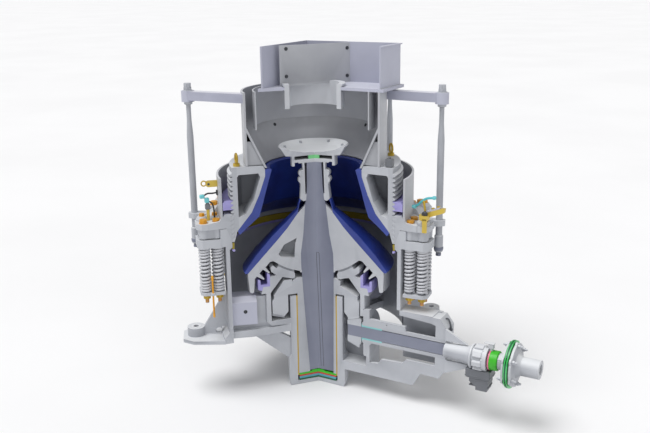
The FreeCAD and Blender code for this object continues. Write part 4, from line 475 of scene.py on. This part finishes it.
@dataclass
class Form:
    """Shape under construction, in millimetres."""

    points: list[Vector] = field(default_factory=list)
    faces: list[tuple[int, ...]] = field(default_factory=list)

    def skin(self, points: Sequence[Sequence[float]], count: int, place: Matrix = Matrix.Identity(4),
             closed: bool = False) -> "Form":
        """Add rings of points with faces from ring to ring, and a cap on both ends unless closed.

        Args:
            points: Points of all rings, one ring after another.
            count: Points in a ring.
            place: Frame of the piece.
            closed: Whether the last ring joins the first.

        Returns:
            This form.
        """
        first, rings = len(self.points), len(points) // count
        faces: list[Sequence[int]] = []
        for ring in range(rings if closed else rings - 1):
            here, there = ring * count, (ring + 1) % rings * count
            for index in range(count):
                after = (index + 1) % count
                faces.append((here + index, here + after, there + after, there + index))
        if not closed:
            faces += [range(count - 1, -1, -1), range(count * (rings - 1), count * rings)]
        self.points.extend(place @ Vector(point) for point in points)
        self.faces.extend(tuple(first + index for index in face) for face in faces)
        return self

    def turned(self, profile: Sequence[Pair], place: Matrix, steps: int = 28, sweep: float = 360) -> "Form":
        """Turn a closed profile of radius and height pairs about the place's Z.

        Args:
            profile: Corners of the profile.
            place: Frame of the piece.
            steps: Faces in a full turn.
            sweep: Angle turned, in degrees.

        Returns:
            This form.
        """
        whole = sweep == 360
        runs = steps if whole else max(2, int(steps * sweep / 360))
        rings = arc((0, 0), 1, 0, sweep, runs)
        points = [(radius * cosine, radius * sine, height) for cosine, sine in rings[:runs if whole else None]
                  for radius, height in profile]
        return self.skin(points, len(profile), place, whole)

    def solid(self, profile: Sequence[Pair], place: Matrix, steps: int = 20) -> "Form":
        """Turn a profile that the axis closes at both ends."""
        return self.turned([(ON_AXIS, profile[0][1]), *profile, (ON_AXIS, profile[-1][1])], place, steps)

    def prism(self, outline: Sequence[Pair], low: float, high: float, place: Matrix) -> "Form":
        """Raise a counter-clockwise outline from one height to another."""
        return self.skin([(x, y, height) for height in (low, high) for x, y in outline], len(outline), place)

    def block(self, size: Triple, place: Matrix, bevel: float = 3) -> "Form":
        """Block with bevelled edges, on its centre.

        Args:
            size: Length, width and height.
            place: Frame of its centre.
            bevel: Width of the bevels.

        Returns:
            This form.
        """
        x, y, z = (value / 2 for value in size)
        outline = [(-x + bevel, -y), (x - bevel, -y), (x, -y + bevel), (x, y - bevel), (x - bevel, y),
                   (-x + bevel, y), (-x, y - bevel), (-x, -y + bevel)]
        inner = [(px * (1 - bevel / x), py * (1 - bevel / y)) for px, py in outline]
        levels = ((inner, -z), (outline, -z + bevel), (outline, z - bevel), (inner, z))
        points = [(px, py, height) for ring, height in levels for px, py in ring]
        return self.skin(points, len(outline), place)

    def hexagon(self, flats: float, low: float, high: float, place: Matrix, crown: float = 3) -> "Form":
        """Hexagon head or nut with its corners turned off above and below.

        Args:
            flats: Distance across its flats.
            low: Height of the underside.
            high: Height of the top.
            place: Frame of the piece.
            crown: Height of the turned corners.

        Returns:
            This form.
        """
        corner, steps, sixth = flats / math.sqrt(3), 24, math.pi / 3
        points = []
        for shrink, height in ((0.9, low), (1, low + crown), (1, high - crown), (0.9, high)):
            for index in range(steps):
                angle = math.tau * index / steps
                side = (angle + sixth / 2) % sixth - sixth / 2
                radius = min(corner * shrink, corner * math.cos(sixth / 2) / math.cos(side))
                points.append((radius * math.cos(angle), radius * math.sin(angle), height))
        return self.skin(points, steps, place)

    def bolt_end(self, radius: float, low: float, high: float, place: Matrix, pitch: float = 6) -> "Form":
        """Threaded end of a bolt, with rings for its thread and a bevelled tip at the top.

        Args:
            radius: Radius over the thread.
            low: Where the thread starts.
            high: Where it ends.
            place: Frame of the piece.
            pitch: Distance between the ridges.

        Returns:
            This form.
        """
        profile: list[Pair] = [(radius - 1.5, low)]
        level = low
        while level + pitch < high - 4:
            profile.extend([(radius, level + pitch / 2), (radius - 1.8, level + pitch)])
            level += pitch
        return self.solid([*profile, (radius - 2, high - 4), (radius - 6, high)], place, 18)

    def swept(self, path: Sequence[Vector], radius: float, sides: int = 10, closed: bool = False) -> "Form":
        """Round bar along a path.

        Args:
            path: Points of its centre line.
            radius: Radius of the bar.
            sides: Faces round it.
            closed: Whether it runs back into itself.

        Returns:
            This form.
        """
        count = len(path)
        normal = Z_AXIS if abs((path[1] - path[0]).normalized().z) < 0.9 else X_AXIS
        points = []
        for index in range(count):
            before = path[index - 1] if index or closed else path[index]
            after = path[(index + 1) % count] if index + 1 < count or closed else path[index]
            heading = (after - before).normalized()
            normal = (normal - heading * normal.dot(heading)).normalized()
            side = heading.cross(normal)
            for step in range(sides):
                angle = math.tau * step / sides
                points.append(path[index] + normal * (radius * math.cos(angle))
                              + side * (radius * math.sin(angle)))
        return self.skin(points, sides, closed=closed)

    def mesh(self, name: str, crease: float) -> bpy.types.Mesh:
        """Finish the shape as a mesh in metres.

        Args:
            name: Name of the mesh.
            crease: Angle in degrees above which an edge stays sharp.

        Returns:
            The mesh.
        """
        made = bpy.data.meshes.new(name)
        made.from_pydata([point * MM for point in self.points], [], self.faces)
        shape = bmesh.new()
        shape.from_mesh(made)
        bmesh.ops.remove_doubles(shape, verts=shape.verts, dist=0.00005)
        bmesh.ops.recalc_face_normals(shape, faces=shape.faces)
        shape.to_mesh(made)
        shape.free()
        made.polygons.foreach_set("use_smooth", [True] * len(made.polygons))
        made.set_sharp_from_angle(angle=math.radians(crease))
        return made


@dataclass
class MainFrame:
    """Frame, hub, arms, feet and what is bolted to them."""

    shop: PaintShop
    guard_angles: tuple[float, ...] = (74, 147, 220)
    guard_half_width: float = 150
    foot_angles: tuple[float, ...] = (43, 130, 217)
    anchor_radius: float = 1530
    boss_height: float = 155
    shell_outer: float = 1146
    weld: float = 9
    seat_sweep: float = 229.4
    cover_under: float = -713.9

    def build(self) -> None:
        """Make the pieces of the frame."""
        self.guard_bolts()
        self.anchor_collars()
        self.weld_beads()
        self.cover_bolts()
        self.wiper_lip()

    def wiper_lip(self) -> None:
        """Yellow lip under the frame's seat, with its violet keeper."""
        lip = [(1042, 1208), (1066, 1214), (1067, 1288), (1040, 1288), (1036, 1276)]
        keeper = [(1030, 1180), (1048, 1176), (1066, 1186), (1066, 1207), (1036, 1205)]
        for name, profile, finish in (("wiper_lip", lip, OLIVE_SEAL), ("wiper_keeper", keeper, VIOLET_PAINT)):
            ring = Form().turned(profile, around(0.3), 160, self.seat_sweep)
            self.shop.piece(name, ring, finish, Body.FRAME)

    def guard_bolts(self) -> None:
        """Countersunk bolts in the sides of the arm guards."""
        heads = Form()
        for angle in self.guard_angles:
            for side in (-1, 1):
                place = around(angle, 923, side * self.guard_half_width, 381) @ turn(-90 * side, "X")
                heads.solid([(13, 0.6), (16, 1.2), (18, 3), (22, 3.4), (24, 1.5), (24, -1)], place, 24)
                heads.hexagon(20, 0.5, 2.4, place, 0.5)
        self.shop.piece("guard_bolts", heads, BLACK_OXIDE, Body.FRAME)

    def anchor_collars(self) -> None:
        """Machined pads and the bevel of the anchor holes on the foot bosses."""
        pads = Form()
        for angle in self.foot_angles:
            pads.turned([(34, -3), (38, 1.4), (62, 1.6), (64, -1)],
                        around(angle, self.anchor_radius, 0, self.boss_height), 40)
        self.shop.piece("anchor_pads", pads, PALE_CASTING, Body.FRAME)

    def weld_beads(self) -> None:
        """Weld beads on both sides of the feet's gussets, along the foot and up the shell."""
        beads = Form()
        along = ((1430, 46), (1330, 46), (1230, 46))
        rise = [(self.shell_outer + 1, height) for height in (170, 350, 550)]
        for angle in self.foot_angles:
            for side in (-26, 26):
                for stops in (along, rise):
                    beads.swept([around(angle, radius, side, height).translation for radius, height in stops],
                                self.weld, 8)
        self.shop.piece("weld_beads", beads, GREY_CASTING, Body.FRAME)

    def cover_bolts(self) -> None:
        """Hexagon heads round the bottom cover."""
        heads = Form()
        for index in range(9):
            heads.hexagon(30, -1, 9, around(12 + 25.5 * index, 332, 0, self.cover_under) @ turn(180, "X"))
        self.shop.piece("cover_bolts", heads, BLACK_OXIDE, Body.FRAME)


@dataclass
class SpringGroups:
    """Coil springs that hold the bowl down, with the bolts through them."""

    shop: PaintShop
    first_angle: float = 7
    pitch_angle: float = 36
    count: int = 7
    radii: Pair = (1232, 1385)
    half_pitch: float = 76
    coil_radius: float = 68
    wire_radius: float = 15.5
    bottom: float = 690
    top: float = 1249.6
    turns: float = 13
    lift: float = 60
    nut_flats: float = 84
    keeper_under: float = 649.6
    bolt_end: float = 545
    ear_top: float = 1546
    ear_under: float = 1476
    frame_ear_top: float = 1350

    def places(self) -> list[Matrix]:
        """Frames of all the springs."""
        return [around(self.first_angle + self.pitch_angle * index, radius, side * self.half_pitch)
                for index in range(self.count) for radius in self.radii for side in (-1, 1)]

    def build(self) -> None:
        """Make the coils, nuts and seats."""
        coils = Form()
        for place in self.places():
            self.coil(coils, place)
        wire = self.shop.piece("spring_coils", coils, SPRING_WIRE, Body.FRAME, 60)
        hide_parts("springs")
        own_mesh(wire)
        self.fasteners()
        self.bosses()
        self.release_rod()

    def coil(self, form: Form, place: Matrix) -> None:
        """Add one spring, wound closer at both ends.

        Args:
            form: Shape that it is added to.
            place: Frame of its axis.
        """
        mean = self.coil_radius - self.wire_radius
        steps = int(self.turns * 20)
        low = self.bottom + self.wire_radius
        height = self.top - self.bottom - self.wire_radius * 2
        path = []
        for index in range(steps + 1):
            share = index / steps
            rise = share - 0.03 * math.sin(math.tau * share)
            angle = math.tau * self.turns * share
            path.append(place @ Vector((mean * math.cos(angle), mean * math.sin(angle), low + height * rise)))
        form.swept(path, self.wire_radius, 8)

    def fasteners(self) -> None:
        """Nuts under the spring plates, heads, pots and cones on the ring's ears, and the seats."""
        lower, tips, upper, seats, pots = Form(), Form(), Form(), Form(), Form()
        ear, seat = self.ear_top, self.top
        for index, place in enumerate(self.places()):
            group, outer, back = index // 4, index % 4 > 1, index % 2 == 0
            lower.hexagon(self.nut_flats, self.keeper_under - 47, self.keeper_under, place, 4)
            tips.bolt_end(23.6, -60, 0.4, place @ shift(z=self.bolt_end) @ turn(180, "X"))
            seats.turned([(40, seat - 16), (72, seat - 16), (76, seat - 8), (76, seat), (40, seat)],
                         place, 32)
            if outer and group == 0:
                self.pot(pots, place)
                continue
            head, flats = ear + 6, self.nut_flats
            if back and group > 0:
                pots.turned([(42, ear), (74, ear), (74, ear + 10), (50, ear + 48), (ON_AXIS, ear + 48)],
                            place, 32)
                head, flats = ear + 52, self.nut_flats * 0.72
            upper.solid([(flats * 0.6, head - 6), (flats * 0.6, head + 1)], place, 28)
            upper.hexagon(flats, head, head + flats * 0.49, place, 5)
        self.shop.piece("spring_nuts", lower, YELLOW_CHROMATE, Body.UPPER)
        self.shop.piece("bolt_tips", tips, ORANGE_ENAMEL, Body.UPPER)
        self.shop.piece("ear_nuts", upper, ORANGE_ENAMEL, Body.UPPER)
        self.shop.piece("spring_seats", seats, PALE_CASTING, Body.FRAME)
        self.shop.piece("ear_pots", pots, GREY_CASTING, Body.UPPER)

    def pot(self, form: Form, place: Matrix) -> None:
        """Add a closed cylinder over a bolt, from the frame's ear to above the ring's."""
        low, high = self.frame_ear_top, self.ear_top
        form.turned([(44, low + 14), (64, low + 14), (66, low + 24), (75, high + 40), (69, high + 50),
                     (ON_AXIS, high + 50), (ON_AXIS, high + 46), (44, high + 46)], place, 40)

    def bosses(self) -> None:
        """Lobed castings that close the space between the frame's ears and the ring's."""
        middle, half = sum(self.radii) / 2, (self.radii[1] - self.radii[0]) / 2
        outline: list[Pair] = []
        for x, y, facing in ((half, half, 45), (-half, half, 135), (-half, -half, 225), (half, -half, 315)):
            outline += arc((middle + x, y), 60, facing - 81, facing + 81, 12)
        lobes = Form()
        for index in range(self.count):
            lobes.prism(outline, self.frame_ear_top + 13, self.ear_under,
                        around(self.first_angle + self.pitch_angle * index))
        self.shop.piece("ear_bosses", lobes, GREY_CASTING, Body.UPPER)

    def release_rod(self) -> None:
        """Orange rod that hangs in front of the last group, held by a clip on the spring plate."""
        place = around(self.first_angle + self.pitch_angle * (self.count - 1), 1318, 152)
        rod = Form().solid([(9, 372), (14, 380), (14, 420), (11, 426), (11, 840), (15, 846), (15, 900),
                            (10, 908)], place)
        clip = Form().block((46, 56, 34), place @ shift(0, -14, 668), 5)
        self.shop.piece("release_rod", rod, ORANGE_ENAMEL, Body.UPPER)
        self.shop.piece("release_rod_clip", clip, GREY_CASTING, Body.UPPER)


@dataclass
class Drivetrain:
    """Eccentric, gears, drive shaft and coupling."""

    shop: PaintShop
    axis_height: float = 90
    coupling_angle: float = 60
    bolt_circle: float = 227
    disc_face: float = 2527
    disc_back: float = 2545
    lug_circle: float = 134

    def on_axis(self, distance: float, spin: float = 0, out: float = 0) -> Matrix:
        """Frame facing out at a distance along the drive axis, or beside it by a radius after a spin."""
        return placed(distance, 0, self.axis_height, X_AXIS, spin) @ shift(0, out)

    def build(self) -> None:
        """Make the pieces of the drive."""
        self.coupling_bolts()
        self.seal_lobes()
        self.sump_bands()
        self.pipe()

    def coupling_bolts(self) -> None:
        """Lobes of both flanges, the bolts through them, and dark green painted shade in the gaps between the
        discs from bolt to bolt.
        """
        bolts, lobes, gap = Form(), Form(), Form()
        face, back = self.disc_face, self.disc_back
        for index in range(6):
            spin = self.coupling_angle * index
            # Dark green bands in the gaps between the discs are painted shade.
            gap.turned([(262, face), (275.8, face), (276.4, face + 3), (276.4, back - 3), (275.8, back),
                        (262, back)], self.on_axis(0, spin + 97), 90, 46)
            place = self.on_axis(0, spin, self.bolt_circle)
            lobes.turned([(18, 2482), (40, 2482), (44, 2487), (44, 2503), (18, 2503)], place, 32)
            lobes.turned([(18, 2569), (44, 2569), (44, 2588), (40, 2593), (18, 2593)], place, 32)
            bolts.hexagon(44, 2452, 2482, place)
            bolts.solid([(9, 2428), (14, 2436), (14, 2453)], place, 18)
            bolts.hexagon(44, 2594, 2624, place)
            bolts.solid([(14, 2623), (14, 2644), (9, 2652)], place, 18)
        self.shop.piece("coupling_lobes", lobes, PALE_CASTING, Body.DRIVE)
        self.shop.piece("coupling_bolts", bolts, GREY_CASTING, Body.DRIVE)
        self.shop.piece("coupling_disc_gap_shade", gap, PINE_GREEN, Body.DRIVE)

    def seal_lobes(self) -> None:
        """Lugs and rims of the seal housing."""
        lobes = Form()
        for index in range(8):
            spin = 45 * index + 10
            lobes.block((66, 40, 112), self.on_axis(2160, spin, self.lug_circle), 7)
            lobes.hexagon(26, 10, 28, self.on_axis(2200, spin + 22.5, self.lug_circle), 2)
        lobes.turned([(110, 2060), (142, 2060), (147, 2066), (147, 2082), (142, 2088), (110, 2088)],
                     self.on_axis(0), 48)
        self.shop.piece("seal_housing_lugs", lobes, PALE_CASTING, Body.FRAME)

    def sump_bands(self) -> None:
        """Wide upper band and pressed grooves of the oil sump."""
        low, high = (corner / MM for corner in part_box("oil_sump"))
        middle, size = (low + high) / 2, high - low
        bands = Form()
        for wide, deep, tall, along, down, bevel in (
                (66, 30, 118, -12, 61, 10), (72, 36, 16, -12, 90, 4), (3, 3, 9, 0, size.z * 0.62, 3),
                (3, 3, 9, 0, size.z * 0.82, 3)):
            bands.block((size.x + wide, size.y + deep, tall),
                        placed(middle.x + along, middle.y, high.z - down), bevel)
        self.shop.piece("sump_bands", bands, DARK_SHEET, Body.FRAME)

    def pipe(self) -> None:
        """Breather bracket on the seal housing and the oil pipe on the drive box."""
        bracket = Form().block((118, 60, 9), placed(2268, 0, 290), 2)
        bracket.block((62, 54, 62), placed(2290, 0, 258), 7)
        bracket.solid([(24, 205), (24, 232)], placed(2290, 0, 0))
        self.shop.piece("breather", bracket, PALE_CASTING, Body.FRAME)
        line = ((1672, 128, 404), (1690, 122, 432), (1722, 112, 430), (1748, 104, 380), (1762, 100, 318))
        pipe = Form().swept(eased(line), 11, 12)
        for end in ((1762, 100, 316), (1672, 128, 402)):
            pipe.hexagon(34, -12, 12, placed(*end), 3)
        self.shop.piece("drive_box_oil_pipe", pipe, DARK_SHEET, Body.FRAME)


@dataclass
class Head:
    """Gyrating head with its shaft and liner."""

    shop: PaintShop
    lean: float = 1.56
    pivot: float = 1674
    bore: float = 19

    def leaning(self, height: float) -> Matrix:
        """Frame on the head's own axis at a machine height."""
        return shift(z=self.pivot) @ turn(-self.lean, "Y") @ shift(z=height - self.pivot)

    def build(self) -> None:
        """Make the pieces of the head."""
        bolts = Form()
        for angle in (28, 88, 148, 208):
            bolts.hexagon(30, -30, 6, self.leaning(2392) @ turn(angle) @ shift(345))
        self.shop.piece("feed_plate_bolts", bolts, GREY_CASTING, Body.HEAD)
        self.oil_way()

    def oil_way(self) -> None:
        """Dark bars on the shaft's section face along both edges of the oil way drilled up it, as painted
        shade of the bore.
        """
        bore = self.bore
        line = [(bore, -500), (bore, 300), *arc((0, 1022), bore, 0, 180, 10), (-bore, 300), (-bore, -500)]
        # The dark bars are painted shade of the bore, not a black part.
        edges = Form().swept([self.leaning(0) @ Vector((x, -0.4, height)) for x, height in line], 2.6, 6)
        self.shop.piece("shaft_oil_way_shade", edges, BLACK_OXIDE, Body.HEAD)


@dataclass
class Bowl:
    """Adjustment ring, bowl and what is fixed on them."""

    shop: PaintShop
    cover_radius: float = 1190
    latch_angles: tuple[float, ...] = (223, 151, 79)
    yoke_across: float = 100

    def build(self) -> None:
        """Make the pieces of the bowl."""
        self.latches()
        self.yokes()
        self.ribs()
        self.terminal_box()

    def latches(self) -> None:
        """Golden lugs on the dust cover, with posts, teal blocks and hoses on the ears below them."""
        lugs, pins, blocks, valves, hoses = Form(), Form(), Form(), Form(), Form()
        outline = [(1186, 1966), (1288, 1966), *arc((1292, 2002), 36, -80, 80, 10), (1288, 2038),
                   (1186, 2038)]
        for angle in self.latch_angles:
            upright = around(angle) @ turn(90, "X")
            lugs.prism(outline, -24, 24, upright)
            ring = arc((1348, 2008), 30, 0, 360, 16)[:-1]
            lugs.swept([upright @ Vector((x, y, 0)) for x, y in ring], 8, 8, True)
            pins.solid([(11, -32), (14, -29), (14, 29), (11, 32)], upright @ shift(1294, 2002), 24)
            valves.solid([(20, 1754), (20, 1772), (12, 1780)], around(angle, 1316))
            for form, size, radius, height, bevel in (
                    (lugs, (36, 36, 150), 1314, 1621, 6), (valves, (60, 56, 64), 1316, 1724, 8),
                    (blocks, (54, 48, 58), 1322, 1804, 7), (blocks, (60, 44, 46), 1376, 1852, 9),
                    (hoses, (18, 56, 60), 1198, 1890, 5)):
                form.block(size, around(angle, radius, 0, height), bevel)
            hoses.swept(self.routed(angle, ((1352, 1862), (1310, 1884), (1252, 1884), (1202, 1890))), 10)
            hoses.swept(self.routed(angle, ((1300, 1790), (1262, 1760), (1244, 1690), (1240, 1560))), 9)
        for name, form, finish in (("cover_lugs", lugs, YELLOW_CHROMATE), ("lug_pins", pins, BLACK_OXIDE),
                                   ("latch_blocks", blocks, TEAL_HOSE), ("latch_valves", valves, DARK_SHEET),
                                   ("latch_hoses", hoses, HOSE_RUBBER)):
            self.shop.piece(name, form, finish, Body.UPPER)

    def routed(self, angle: float, stops: Sequence[Pair]) -> list[Vector]:
        """Smooth line in an upright plane through the main axis, from radius and height pairs."""
        return eased([around(angle, radius, 0, height).translation for radius, height in stops])

    def yokes(self) -> None:
        """Golden yoke over the pots of the first group, with its knob, small bolts and teal link."""
        yoke, bar, knob = Form(), Form(), Form()
        # The yoke lies in an upright plane along X, and the plane's own Z points to -Y.
        plane = shift(0, self.yoke_across) @ turn(90, "X")
        for outline, low, high in (
                ([(1336, 1640), (1362, 1618), (1640, 1726), (1646, 1776), (1606, 1774), (1336, 1674)],
                 -26, 26),
                ([(1362, 1618), (1362, 1600), (1418, 1600), (1418, 1644)], -26, 26),
                ([(1410, 1650), (1410, 1486), (1462, 1486), (1462, 1650)], 84, 108),
                ([(1372, 1632), (1468, 1632), (1468, 1686), (1372, 1686)], 20, 108)):
            yoke.prism(outline, low, high, plane)
        bar.prism([(1430, 1702), (1590, 1770), (1586, 1790), (1424, 1724)], -20, 20, plane)
        for along, height in ((1500, 1742), (1566, 1769)):
            yoke.hexagon(34, -10, 26, placed(along, self.yoke_across, height), 3)
        knob.turned([(ON_AXIS, -12), (24, -12), (34, -2), (34, 22), (26, 30), (ON_AXIS, 32)],
                    plane @ shift(1424, 1700, 60), 28)
        knob.solid([(14, -30), (14, 40)], plane @ shift(1418, 1694))
        line = ((1252, 130, 1752), (1300, 122, 1776), (1352, 110, 1826), (1420, 100, 1870), (1512, 96, 1888))
        link = Form().swept(eased(line), 14, 12)
        link.block((52, 40, 40), placed(1250, 130, 1748), 7)
        link.block((44, 40, 40), placed(1512, 96, 1888), 7)
        yoke.swept(eased(((1402, 100, 1690), (1398, 100, 1740), (1380, 104, 1840))), 13)
        for name, form, finish in (("release_yoke", yoke, YELLOW_CHROMATE), ("release_bar", bar, LILAC_PLATE),
                                   ("release_knob", knob, BLACK_OXIDE), ("release_link", link, TEAL_HOSE)):
            self.shop.piece(name, form, finish, Body.UPPER)

    def terminal_box(self) -> None:
        """Dark box on the bowl's rim beside the first eyebolt."""
        box = Form().block((88, 66, 96), placed(968, 50, 2254), 7)
        box.solid([(14, 2300), (14, 2316), (8, 2322)], placed(968, 50, 0))
        self.shop.piece("rim_box", box, DARK_SHEET, Body.UPPER)

    def ribs(self) -> None:
        """Triangular brackets between the ring's flange and the dust cover."""
        brackets, cover = Form(), self.cover_radius
        for angle in range(18, 223, 18):
            brackets.prism([(cover + 1, 1592), (cover + 88, 1562), (cover + 1, 1700)], -8, 8,
                           around(angle) @ turn(90, "X"))
        self.shop.piece("cover_brackets", brackets, GREY_PLATE, Body.UPPER)


@dataclass
class Hopper:
    """Feed hopper, its cover and the rods that hold it."""

    shop: PaintShop
    panel_start: Pair = (-318, -229)
    panel_angle: float = 55.4
    rod_circle: float = 1510
    rod_angles: tuple[float, ...] = (15.5, 78.833, 142.166, 205.499)
    cover_top: float = 3101

    def build(self) -> None:
        """Make the pieces of the hopper."""
        self.panel_bolts()
        self.rod_nuts()
        self.beads()

    def panel_bolts(self) -> None:
        """Bolt heads on the feed panel and plugs in the hopper's wall."""
        heads = Form()
        panel = shift(*self.panel_start) @ turn(self.panel_angle)
        for along, height in ((81, 3530), (881, 3505), (79, 3212), (881, 3176)):
            place = panel @ shift(along, 0, height) @ turn(90, "X")
            heads.solid([(22, -1), (22, 3)], place, 24)
            heads.hexagon(28, 2, 13, place, 2)
        for angle in (160, 66):
            heads.solid([(24, -6), (24, 2), (20, 4)], around(angle, 786, 0, 2545) @ turn(-64.7, "Y"), 24)
        self.shop.piece("hopper_bolts", heads, BLACK_OXIDE, Body.UPPER)

    def rod_nuts(self) -> None:
        """Hexagon nuts and washers above each arm's block, and the collars below the sleeves."""
        nuts, caps = Form(), Form()
        for angle in self.rod_angles:
            place = around(angle, self.rod_circle)
            nuts.hexagon(84, 3056, 3094, place, 4)
            nuts.hexagon(78, 3096, 3139, place, 5)
            nuts.turned([(40, 3050), (58, 3050), (58, 3057), (40, 3057)], place, 32)
            caps.turned([(46, 1168), (54, 1172), (58, 1184), (58, 1206), (54, 1212), (50, 1212)], place, 32)
            caps.hexagon(62, 1100, 1130, place, 4)
        self.shop.piece("rod_nuts", nuts, GREY_CASTING, Body.UPPER)
        self.shop.piece("rod_caps", caps, FORGED_STEEL, Body.UPPER)

    def beads(self) -> None:
        """Weld beads where the feed box and hopper meet the cover plate and the bowl."""
        beads = Form()
        plan = ((865, 4), (865, 538), (-412, 538), (-412, -470))
        corners = [Vector((x, y, self.cover_top)) for x, y in plan]
        for start, end in zip(corners, corners[1:]):
            beads.swept([start, (start + end) / 2, end], 7, 8)
        beads.swept([Vector((x, y, 2205)) for x, y in arc((0, 0), 863, 3, 227, 60)], 8, 8)
        self.shop.piece("hopper_weld_beads", beads, GREY_CASTING, Body.UPPER)


@dataclass
class Studio:
    """Pale floor, soft light and the camera of the drawing."""

    shop: PaintShop
    eye: Triple = (5033.8, -8590.6, 4329.6)
    yaw: float = 29.73
    pitch: float = 15.88
    roll: float = -0.79
    focal_pixels: float = 842.3
    image_width: float = 650
    sensor_width: float = 36
    clip_end: float = 2000
    floor: float = -718
    reach: float = 400000
    sky: float = 0.46

    def build(self) -> None:
        """Set the stage."""
        self.camera()
        self.ground()
        self.lights()

    def camera(self) -> None:
        """Stand the camera where the drawing was seen from."""
        yaw, pitch, roll = (math.radians(value) for value in (self.yaw, self.pitch, self.roll))
        right = Vector((math.cos(yaw), math.sin(yaw), 0))
        back = Vector((math.sin(yaw) * math.cos(pitch), -math.cos(yaw) * math.cos(pitch), math.sin(pitch)))
        up = back.cross(right)
        turned_right = right * math.cos(roll) + up * math.sin(roll)
        turned_up = up * math.cos(roll) - right * math.sin(roll)
        data = bpy.data.cameras.new("drawing_camera")
        data.sensor_width = self.sensor_width
        data.lens = self.focal_pixels / self.image_width * self.sensor_width
        data.clip_end = self.clip_end
        made = bpy.data.objects.new("drawing_camera", data)
        bpy.context.scene.collection.objects.link(made)
        facing = Matrix((turned_right, turned_up, back)).transposed().to_4x4()
        made.matrix_world = Matrix.Translation(Vector(self.eye) * MM) @ facing
        bpy.context.scene.camera = made

    def ground(self) -> None:
        """Lay the floor just under the hub."""
        far = self.reach
        slab = Form().prism([(-far, -far), (far, -far), (far, far), (-far, far)], self.floor - 20, self.floor,
                            Matrix.Identity(4))
        self.shop.piece("studio_floor", slab, PALE_FLOOR, None, 30)

    def lights(self) -> None:
        """Even white sky, a broad soft key from above the camera's left, and a weak fill from its right."""
        world = bpy.data.worlds.new("studio_sky")
        world.use_nodes = True
        background = world.node_tree.nodes["Background"]
        background.inputs["Color"].default_value = (1, 1, 1, 1)
        background.inputs["Strength"].default_value = self.sky
        bpy.context.scene.world = world
        bpy.context.scene.view_settings.view_transform = "Standard"
        for name, spot, power, spread in (("key", (-2.2, -3.4, 9), 2, 38), ("fill", (8, -6, 5), 0.35, 50)):
            data = bpy.data.lights.new(name, "SUN")
            data.energy = power
            data.angle = math.radians(spread)
            lamp = bpy.data.objects.new(name, data)
            lamp.location = spot
            lamp.rotation_mode = "QUATERNION"
            lamp.rotation_quaternion = Vector(spot).to_track_quat("Z", "Y")
            bpy.context.scene.collection.objects.link(lamp)


def main() -> None:
    """Dress the crusher one sub-assembly after another."""
    logging.basicConfig(level=logging.INFO, format="%(name)s %(message)s")
    shop = PaintShop()
    Studio(shop).build()
    shop.dress()
    for part in (MainFrame(shop), SpringGroups(shop), Drivetrain(shop), Head(shop), Bowl(shop), Hopper(shop)):
        part.build()
        log.info("%s is dressed", type(part).__name__)


if __name__ == "__main__":
    main()
